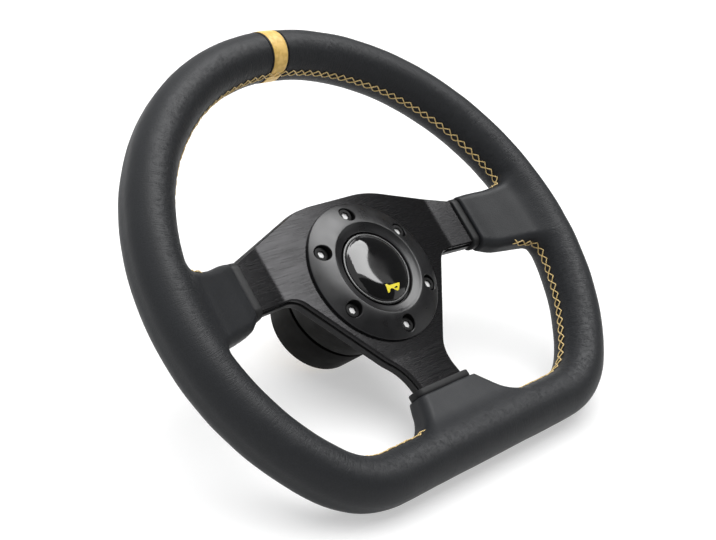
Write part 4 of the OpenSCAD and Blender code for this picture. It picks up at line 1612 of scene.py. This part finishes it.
    def build(self) -> None:
        """Makes the front plate and the frame."""
        z0, z1, z2, b = self.levels.frame, self.levels.plate, self.levels.face, self.bevel
        plate = self.sheet([(0, z1), (0, z2 - b - 0.06), (-0.04, z2 - b + 0.04),
                            (-b + 0.06, z2 - 0.05), (-b - 0.06, z2)])
        place("front_plate", plate, Finishes.PLATE, replaces=("spoke_plate",), crease=20)
        g, e, h = self.lip, 0.25, 0.07
        back = self.sheet([(g - e, z0), (g - h, z0 + h), (g, z0 + e), (g, z1 - e),
                           (g - h, z1 - h), (g - e, z1)])
        place("rear_frame", back, Finishes.STEEL, replaces=("spoke_frame",), crease=20)


# Horn ring, bolts and button


@dataclass(frozen=True)
class HornRing:
    """Bulging ring round the horn button, its sinks and its six bolts.

    Attributes:
        levels: Heights along the axis.
        circle: Radius of the bolt circle.
        outer: Outer radius.
        crest: Radius of the crest.
        crest_h: Height of the crest over the plate.
        edge_h: Height of the outer edge.
        step: Radius of the step in the underside.
        mouth: Radius of the mouth.
        lip_h: Height of the mouth's lip.
        sink: Radius of a bolt's sink.
        seat: Height of the sink's floor.
        head: Radius of a bolt's head.
        head_h: Height of the head.
        socket: Width of the hexagon.
        socket_l: Depth of the hexagon.
    """

    levels: Levels = Levels()
    circle: float = 35.0
    outer: float = 42.6
    crest: float = 28.2
    crest_h: float = 6.3
    edge_h: float = 1.5
    step: float = 28.6
    mouth: float = 23.0
    lip_h: float = 4.4
    sink: float = 4.8
    seat: float = 0.6
    head: float = 4.3
    head_h: float = 2.2
    socket: float = 4.0
    socket_l: float = 1.2

    def top(self, r: Array) -> Array:
        """Gives the ring's height over the plate, which falls from the crest with the power 1.5
        of the share of the way to the outer edge."""
        u = np.clip((r - self.crest) / (self.outer - self.crest), 0, 1)
        return self.crest_h - (self.crest_h - self.edge_h) * u**1.5

    def body(self) -> Surface:
        """Revolves the ring's profile, with its sharp edges slightly rounded.

        Returns:
            The closed surface, without the sinks.
        """
        r = np.linspace(self.outer, self.crest, 26)
        flank = [(q, z, 0.05) for q, z in zip(r[1:-1], self.top(r[1:-1]))]
        profile = [(self.step, 0.0, 0.0), (self.outer, 0.0, 0.0), (self.outer, self.edge_h, 0.35), *flank,
                   (self.crest, self.crest_h, 0.5), (self.crest - 1.4, self.crest_h - 0.8, 0.5),
                   (self.crest - 3.0, self.lip_h + 0.5, 0.9), (self.mouth + 0.45, self.lip_h, 0.12),
                   (self.mouth, self.lip_h - 0.45, 0.12), (self.mouth, 1.5, 0.0), (self.step, 1.5, 0.0)]
        curve = eased(profile, 3)
        curve[:, 1] += self.levels.face
        return revolved(curve, 240)

    def spots(self) -> Array:
        """Gives the six places on the bolt circle."""
        a = math.pi / 2 + math.pi / 3 * np.arange(6)
        return self.circle * np.stack([np.cos(a), np.sin(a)], -1)

    def cutter(self) -> Surface:
        """Makes the six sinks as one cutting shape, each with a chamfered mouth.

        A sink is a stack of circles. All but the lowest are tilted with the ring: their height
        falls by the ring's slope times the distance outwards from the bolt's axis.

        Returns:
            The six closed shapes.
        """
        slope = float(self.top(self.circle - 1) - self.top(self.circle + 1)) / 2
        high = float(self.top(self.circle))
        radii = np.array([self.sink, self.sink, self.sink + 0.14, self.sink + 0.62, self.sink + 2.0])[:, None]
        lifts = np.array([self.seat, high - 0.5, high - 0.4, high + 0.1, high + 1.6])[:, None]
        tilted = np.array([0.0, slope, slope, slope, slope])[:, None]
        a = circle(64)
        parts = []
        for x, y in self.spots():
            dx, dy = radii * np.cos(a), radii * np.sin(a)
            along = (dx * x + dy * y) / self.circle
            grid = np.stack([x + dx, y + dy, self.levels.face + lifts - tilted * along], -1)
            parts.append(plugged(grid))
        return Surface.joined(parts)

    def around_bolts(self, mesh: bpy.types.Mesh) -> tuple[Array, Array, Array]:
        """Measures where a mesh's faces lie.

        Args:
            mesh: The mesh.

        Returns:
            Each face's distance from the nearest bolt's axis, its distance from the ring's axis
            and its height over the plate.
        """
        middle = gathered(mesh.polygons, "center") / MM
        near = np.linalg.norm(middle[:, None, [0, 2]] - self.spots()[None], axis=2).min(1)
        return near, np.hypot(middle[:, 0], middle[:, 2]), -middle[:, 1] - self.levels.face

    @staticmethod
    def dress_faces(mesh: bpy.types.Mesh, finish: Finish, chosen: Array) -> None:
        """Gives the chosen faces a second finish."""
        mesh.materials.append(finish.material())
        mesh.polygons.foreach_set("material_index", chosen.astype(np.int32))

    def ring(self) -> None:
        """Cuts the sinks into the ring, paints shade on their walls with the bolt finish, and gives its flank
        the revolved shape's own normals.
        """
        piece = place("bulging_ring", self.body(), Finishes.RING, replaces=("horn_ring",))
        tool = linked("sink_tool", make_mesh("sink_tool", self.cutter()))
        cut = piece.modifiers.new("sinks", "BOOLEAN")
        cut.operation, cut.object, cut.solver = "DIFFERENCE", tool, "EXACT"
        shown = piece.evaluated_get(bpy.context.evaluated_depsgraph_get())
        mesh = bpy.data.meshes.new_from_object(shown)
        piece.modifiers.clear()
        piece.data = mesh
        bpy.data.objects.remove(tool)
        mesh.name = "bulging_ring"
        near, r, height = self.around_bolts(mesh)
        # Painted shade: the walls of the sinks take the darker, duller bolt finish instead of the ring's own.
        sink_wall_shade = (height < self.top(r) - 0.35) & (near < self.sink + 0.1)
        self.dress_faces(mesh, Finishes.BOLT_AND_SINK_SHADE, sink_wall_shade)
        mesh.set_sharp_from_angle(angle=math.radians(24))
        corner = gathered(mesh.corner_normals, "vector")
        vertex = gathered(mesh.loops, "vertex_index", 1, np.int32)[:, 0]
        x, y, z = (gathered(mesh.vertices, "co")[vertex] / MM).T
        r = np.hypot(x, z)
        fall = (self.top(r - 0.2) - self.top(r + 0.2)) / 0.4
        exact = unit(np.stack([x / r * fall, -np.ones(len(r)), z / r * fall], -1))
        flank = (r > self.crest + 0.6) & (r < self.outer - 0.6)
        flank &= np.abs(-y - self.levels.face - self.top(r)) < 0.03
        flank &= (exact * corner).sum(1) > 0.96
        corner[flank] = exact[flank]
        mesh.normals_split_custom_set(corner.tolist())

    def bolts(self) -> None:
        """Makes six low bolts whose socket floors carry a near-white painted glint.

        Each is a grid whose outer rows are circles and whose inner rows are the hexagon: half of
        its width over the cosine of the angle to the middle of the nearest side.
        """
        z = self.levels.face + self.seat
        top = z + self.head_h
        low = top - self.socket_l
        a = circle(72)
        wedge = np.mod(a + math.pi / 6, math.pi / 3) - math.pi / 6
        hexagon = self.socket / 2 / np.cos(wedge)
        rows = [(hexagon * 0.5, low), (hexagon - 0.08, low), (hexagon, low + 0.08), (hexagon, top - 0.22),
                (hexagon + 0.2, top - 0.02)]
        ease = np.linspace(0, math.pi / 2, 6)
        rows += [(self.head - 0.6 + 0.6 * math.sin(u) + 0 * a, top - 0.6 + 0.6 * math.cos(u)) for u in ease]
        rows += [(self.head + 0 * a, z), (2.5 + 0 * a, z), (2.5 + 0 * a, self.levels.frame - 6.0)]
        parts = []
        for x, y in self.spots():
            rings = [np.stack([x + r * np.cos(a), y + r * np.sin(a), h + 0 * a], -1) for r, h in rows]
            parts.append(plugged(np.stack(rings)))
        piece = place("low_bolts", Surface.joined(parts), Finishes.BOLT_AND_SINK_SHADE, replaces=("ring_bolts",), crease=35)
        near, _, height = self.around_bolts(piece.data)
        # The socket floors take the near-white finish, a painted glint on the black bolts.
        floor = (near < self.socket * 0.6) & (np.abs(height - low + self.levels.face) < 0.1)
        self.dress_faces(piece.data, Finishes.SOCKET_GLINT, floor)

    def build(self) -> None:
        """Makes the ring and its bolts."""
        self.ring()
        self.bolts()


@dataclass(frozen=True)
class HornButton:
    """The moving button: cap, glossy dome and horn sign.

    Attributes:
        levels: Heights along the axis.
        cap: Outer radius of the cap.
        dome: Radius of the dome.
        dome_h: Rise of the dome.
        dome_z: Height of the dome's edge over the plate.
        cap_z: Height of the cap's edge over the plate.
        deck: Height of the cap's deck over the plate.
        skirt: Depth and wall of the cap's skirt.
        tube: Inner and outer radius of the contact tube, and its depth.
        post: Radius of the guide post, its depth, and the depth of the clip's groove.
        pocket: Depth of the pocket over the spring, which leaves it room when the button is
            pressed, and the height and radius of the raised roof over it.
    """

    levels: Levels = Levels()
    skirt: Pair = (8.0, 1.5)
    tube: Triple = (7.0, 11.0, 10.8)
    post: Triple = (4.0, 19.6, 18.1)
    cap: float = 22.0
    dome: float = 20.4
    dome_h: float = 2.8
    dome_z: float = 4.6
    cap_z: float = 4.2
    deck: float = 1.1
    pocket: Triple = (2.6, 3.0, 8.2)

    def dome_top(self, r: Array) -> Array:
        """Gives the dome's height: its edge plus its rise times one less the fifth power of r
        over R."""
        return self.levels.face + self.dome_z + self.dome_h * (1 - (r / (self.dome - 0.3)) ** 5)

    def sign(self) -> Surface:
        """Makes the horn sign, a thin inlay a hair over the dome.

        Returns:
            The closed surface: two filled faces that follow the dome, and the walls.
        """
        body = np.array([[-4.3, -16], [-3.2, -16], [-1.9, -14.4], [-0.4, -14.2], [1.2, -15.6], [3.1, -16.5],
                         [4.1, -16.3], [6.7, -12.9], [6.2, -12.5], [-1.6, -12.3], [-3.1, -11], [-4, -11.2]])
        gap = np.array([[0.9, -14.3], [1.7, -14.9], [3.4, -15], [4.1, -14.3], [3.3, -13.8]])
        edge, hole = resampled(body, 0.6, closed=True), resampled(gap, 0.5, closed=True)
        flat, tris = triangulated(edge, hole, np.empty((0, 2)))
        middle = flat[tris].mean(1)
        tris = tris[within(edge, middle) & ~within(hole, middle)]
        top = self.dome_top(np.linalg.norm(flat, axis=1)) + 0.05
        low, high = raised(flat, top - 0.5), raised(flat, top)
        count, n = len(flat), len(edge)
        rings = closed_pairs(n, 0) + closed_pairs(len(hole), n)
        walls = np.array([[i, j, j + count, i + count] for i, j in rings])
        return Surface(np.concatenate([low, high]), [tris[:, ::-1], tris + count, walls]).outward()

    def cap_body(self) -> Surface:
        """Revolves the cap with its skirt, contact tube and guide post, its edges rounded.

        Returns:
            The closed surface.
        """
        z, r, deck = self.levels.face, self.cap, self.levels.face + self.deck
        depth, wall = self.skirt
        r0, r1, low = self.tube
        post, end, groove = self.post
        inner = self.dome + 0.1
        room, high, roof = self.pocket
        return revolved(eased([
            (0.0, z - end, 0.0), (post, z - end, 0.5), (post, z - groove - 0.1, 0.0),
            (post - 0.8, z - groove - 0.1, 0.0), (post - 0.8, z - groove + 0.9, 0.0),
            (post, z - groove + 0.9, 0.0), (post, deck + room, 0.0), (r0, deck + room, 0.0),
            (r0, z - low, 0.0), (r1, z - low, 0.0), (r1, deck, 0.0), (r - wall, deck, 0.0),
            (r - wall, z - depth, 0.0),
            (r, z - depth, 0.2), (r, z + self.cap_z, 0.6), (inner, z + self.cap_z, 0.25),
            (inner, deck + 1.5, 0.0), (roof, deck + 1.5, 0.0), (roof, deck + high, 0.0),
            (0.0, deck + high, 0.0),
        ], 4, closed=False), 192)

    def build(self) -> None:
        """Makes the three pieces of the button that show."""
        z, r = self.levels.face, self.dome
        _, high, roof = self.pocket
        under = z + self.deck
        place("satin_cap", self.cap_body(), Finishes.CAP, Body.BUTTON, replaces=("button_cap",))
        rows = [(q, float(self.dome_top(np.array(q))), 0.02) for q in np.linspace(0, r - 0.6, 40)]
        profile = rows + [(r - 0.12, z + self.dome_z - 0.02, 0.2), (r, z + self.dome_z - 0.4, 0.15),
                          (r, under + 1.5, 0.0), (roof + 0.05, under + 1.5, 0.0),
                          (roof + 0.05, under + high + 0.05, 0.0), (0.0, under + high + 0.05, 0.0)]
        place("gloss_dome", revolved(eased(profile, 2, closed=False), 192), Finishes.DOME, Body.BUTTON,
              replaces=("button_dome",), crease=40)
        place("horn_inlay", self.sign(), Finishes.SIGN, Body.BUTTON, replaces=("horn_symbol",))


@dataclass(frozen=True)
class Hub:
    """Cover and collar of the hub, revolved with small rounded edges.

    The cover's black spigot reaches into the collar, so the groove between them shows dark.

    Attributes:
        length: Length of the hub.
        collar_l: Length of the rear collar.
        groove: Gap between the collar and the cover.
        wall: Wall of both.
        shaft: Radius of the hub's body.
        collar_r: Rear and front radius of the collar.
        cover_r: Rear and front radius of the cover.
        web: Height of the collar's inner floor.
    """

    length: float = 56.8
    collar_l: float = 24.2
    groove: float = 2.3
    wall: float = 1.6
    shaft: float = 26.1
    collar_r: Pair = (29.7, 33.0)
    cover_r: Pair = (33.2, 42.5)
    web: float = 7.0

    def build(self) -> None:
        """Makes the cover and the collar."""
        r0, r1 = self.collar_r
        mid = r0 + (r1 - r0) * self.web / self.collar_l - self.wall
        collar = [(self.shaft, 0.0, 0.1), (r0, 0.0, 0.6), (r1, self.collar_l, 0.25),
                  (r1 - self.wall, self.collar_l, 0.1), (mid, self.web, 0.1), (self.shaft, self.web, 0.1)]
        place("hub_collar", revolved(eased(collar), 160), Finishes.COVER, replaces=("boss_collar",))
        z = self.collar_l + self.groove
        c0, c1 = self.cover_r
        inner, low = r1 - self.wall - 0.4, self.collar_l - 0.8
        cover = [(c0, z, 0.25), (inner, z, 0.0), (inner, low, 0.1), (inner - 1.4, low, 0.1),
                 (inner - 1.4, z + 1.2, 0.1), (c1 - self.wall, self.length, 0.05), (c1, self.length, 0.05)]
        place("hub_cover_shell", revolved(eased(cover), 160), Finishes.COVER, replaces=("boss_cover",))


# The studio


def way(turn: float, lift: float) -> Triple:
    """Gives a direction from its angle to the right of the driver's and its angle upwards."""
    a, b = math.radians(turn), math.radians(lift)
    return math.sin(a) * math.cos(b), -math.cos(a) * math.cos(b), math.sin(b)


def axes(x: Vector, y: Vector, z: Vector, origin: Vector) -> Matrix:
    """Gives the matrix with these axes and this origin."""
    return Matrix.Translation(origin) @ Matrix((x, y, z)).transposed().to_4x4()


def board(name: str, at: Matrix, size: Pair, material: bpy.types.Material) -> bpy.types.Object:
    """Puts a rectangle on the stage.

    Args:
        name: Name of the rectangle.
        at: Matrix in whose xy plane it lies.
        size: Its width and height.
        material: Its material.

    Returns:
        The object.
    """
    signs = ((-1, -1), (1, -1), (1, 1), (-1, 1))
    corners = [at @ Vector((a * size[0] / 2, b * size[1] / 2, 0)) for a, b in signs]
    mesh = bpy.data.meshes.new(name)
    mesh.from_pydata([tuple(c) for c in corners], [], [(0, 1, 2, 3)])
    mesh.materials.append(material)
    made = linked(name, mesh)
    return made


@dataclass(frozen=True)
class Panel:
    """A flat rectangle that faces the wheel's middle, at AIM.

    Attributes:
        name: Name of the panel.
        way: Direction in which it hangs from there.
        far: Its distance.
        size: Its width and height.
        level: Power of a lamp in watts, or brightness of a card.
    """

    name: str
    way: Triple
    far: float
    size: Pair
    level: float

    def matrix(self) -> Matrix:
        """Places the panel.

        Returns:
            Its matrix, with z away from the wheel and y upwards.
        """
        z = Vector(self.way).normalized()
        y = (Vector((0, 0, 1)) - z * z.z).normalized()
        return axes(y.cross(z), y, z, Vector(AIM) + z * self.far)


@dataclass(frozen=True)
class SoftBox(Panel):
    """An area lamp.

    Attributes:
        tint: Its colour.
        roll: Its turn about its own axis, in degrees.
        hidden: Kind of ray that it is hidden from, if any.
    """

    tint: Colour = (1.0, 1.0, 1.0)
    roll: float = 0.0
    hidden: Optional[Ray] = None

    def build(self) -> None:
        """Hangs the lamp."""
        data = bpy.data.lights.new(self.name, "AREA")
        data.shape, data.size, data.size_y = "RECTANGLE", *self.size
        data.energy, data.color = self.level, self.tint
        box = linked(self.name, data)
        box.matrix_world = self.matrix() @ Matrix.Rotation(math.radians(self.roll), 4, "Z")
        if self.hidden is not None:
            setattr(box, self.hidden.value, False)


@dataclass(frozen=True)
class Card(Panel):
    """A dark card that only shows in reflections."""

    def build(self) -> None:
        """Stands the card."""
        material = bpy.data.materials.new(self.name)
        graph = Graph(material)
        graph.close(graph.node("ShaderNodeEmission", {"Strength": self.level}))
        made = board(self.name, self.matrix(), self.size, material)
        made.visible_camera = made.visible_diffuse = made.visible_shadow = False


@dataclass(frozen=True)
class Studio:
    """Camera, floor and lamps. The wheel lies on its hub and on the flat of its rim.

    Attributes:
        eye: Place of the camera.
        right: Camera's direction to the right.
        down: Camera's direction down.
        lens: Focal length for a sensor of 36 mm.
        up: Direction away from the floor.
        floor: Distance of the floor from the origin along that direction.
        spread: Width and length of the floor.
        pale: Reflectance of the floor.
        glow: What the floor adds to itself for the camera and in reflections.
        grey: Strength of the world as light. To the camera it is 1.
        panels: Lamps and cards.
    """

    eye: Triple = (-0.485721, -0.554815, -0.143815)
    right: Triple = (0.69654, -0.53113, -0.48242)
    down: Triple = (-0.22641, 0.47531, -0.85019)
    lens: float = 64.13
    up: Triple = (0.0, -0.8124, 0.5831)
    floor: float = -0.0186
    spread: Pair = (6.0, 6.0)
    pale: float = 0.62
    glow: float = 0.45
    grey: float = 0.35
    panels: tuple[Panel, ...] = (
        SoftBox("key_box", way(27.5, 32.0), 12.0, (8.4, 10.4), 2650.0, roll=-13.0, hidden=Ray.DIFFUSE),
        SoftBox("top_box", way(2.0, 47.0), 12.0, (18.0, 18.0), 2900.0, hidden=Ray.GLOSSY),
        SoftBox("left_box", (-0.85, -0.35, 0.55), 1.1, (0.5, 0.9), 0.7, (0.93, 0.96, 1.0)),
        SoftBox("rear_fill", (-0.2, 0.95, -0.1), 1.2, (1.4, 1.4), 4.0),
        Card("dark_card", way(75.5, 20.0), 12.2, (14.0, 16.0), 0.12),
        Card("low_card", way(20.0, -18.0), 12.2, (12.0, 11.0), 0.12),
    )

    def camera(self) -> None:
        """Sets the camera up from its solved place and directions."""
        data = bpy.data.cameras.new("camera")
        data.lens, data.sensor_width, data.clip_start, data.clip_end = self.lens, 36.0, 0.01, 50.0
        rig = linked("camera", data)
        x, y = Vector(self.right).normalized(), -Vector(self.down)
        y = (y - y.dot(x) * x).normalized()
        rig.matrix_world = axes(x, y, x.cross(y), Vector(self.eye))
        bpy.context.scene.camera = rig

    def ground(self) -> None:
        """Lays the pale floor, which is clear from below and to shadow rays."""
        material = bpy.data.materials.new("pale_floor")
        graph = Graph(material)
        seen = graph.rays("Camera", "Glossy")
        matt = graph.node("ShaderNodeBsdfDiffuse", {"Color": (self.pale, self.pale, self.pale)})
        glow = graph.node("ShaderNodeEmission", {"Strength": graph.times(seen, self.glow)})
        both = graph.node("ShaderNodeAddShader", {0: matt.outputs[0], 1: glow.outputs[0]})
        back = graph.node("ShaderNodeNewGeometry").outputs["Backfacing"]
        through = graph.calc("MAXIMUM", back, graph.rays("Shadow"))
        clear = graph.node("ShaderNodeBsdfTransparent")
        graph.close(graph.node("ShaderNodeMixShader", {0: through, 1: both.outputs[0], 2: clear.outputs[0]}))
        up, side = Vector(self.up).normalized(), Vector((1, 0, 0))
        board("pale_floor", axes(side, up.cross(side), up, up * self.floor), self.spread, material)

    def sky(self) -> None:
        """Makes the world white to the camera and in reflections, and plain grey as light."""
        world = bpy.data.worlds.new("studio")
        graph = Graph(world)
        seen = graph.rays("Camera", "Glossy", "Transmission")
        level = graph.calc("MULTIPLY_ADD", seen, 1 - self.grey, self.grey)
        graph.close(graph.node("ShaderNodeBackground", {"Color": (1.0, 1.0, 1.0), "Strength": level}))
        bpy.context.scene.world = world

    def build(self) -> None:
        """Sets the whole studio up."""
        bpy.context.scene.view_settings.view_transform = "Standard"
        self.camera()
        self.ground()
        self.sky()
        for panel in self.panels:
            panel.build()


# The nodes kept from the frame

KEPT = {
    "rim_core": Finishes.SPRING,
    "rim_padding": Finishes.FOAM,
    "button_housing": Finishes.HOUSING,
    "contact_disc": Finishes.BRASS,
    "contact_ring": Finishes.BRASS,
    "button_spring": Finishes.SPRING,
    "button_clip": Finishes.SPRING,
    "terminal_live": Finishes.BRASS,
    "terminal_earth": Finishes.BRASS,
    "hub_boss": Finishes.HUB,
    "slip_ring_carrier": Finishes.CARRIER,
    "slip_ring": Finishes.BRASS,
}


def dress_kept() -> None:
    """Gives each CAD node that stays its finish."""
    for name, finish in KEPT.items():
        node = frame["nodes"][name]
        node.data.materials.clear()
        node.data.materials.append(finish.material())


def main() -> None:
    """Builds every sub-assembly in turn, from the rim inwards."""
    logging.basicConfig(level=logging.INFO, format="%(name)s: %(message)s")
    for part in (GripSkin(), Stitching(), MarkerBand(), Cuffs(), Spokes(), HornRing(), HornButton(), Hub()):
        LOG.info("building %s", type(part).__name__)
        part.build()
    dress_kept()
    Studio().build()


if __name__ == "__main__":
    main()
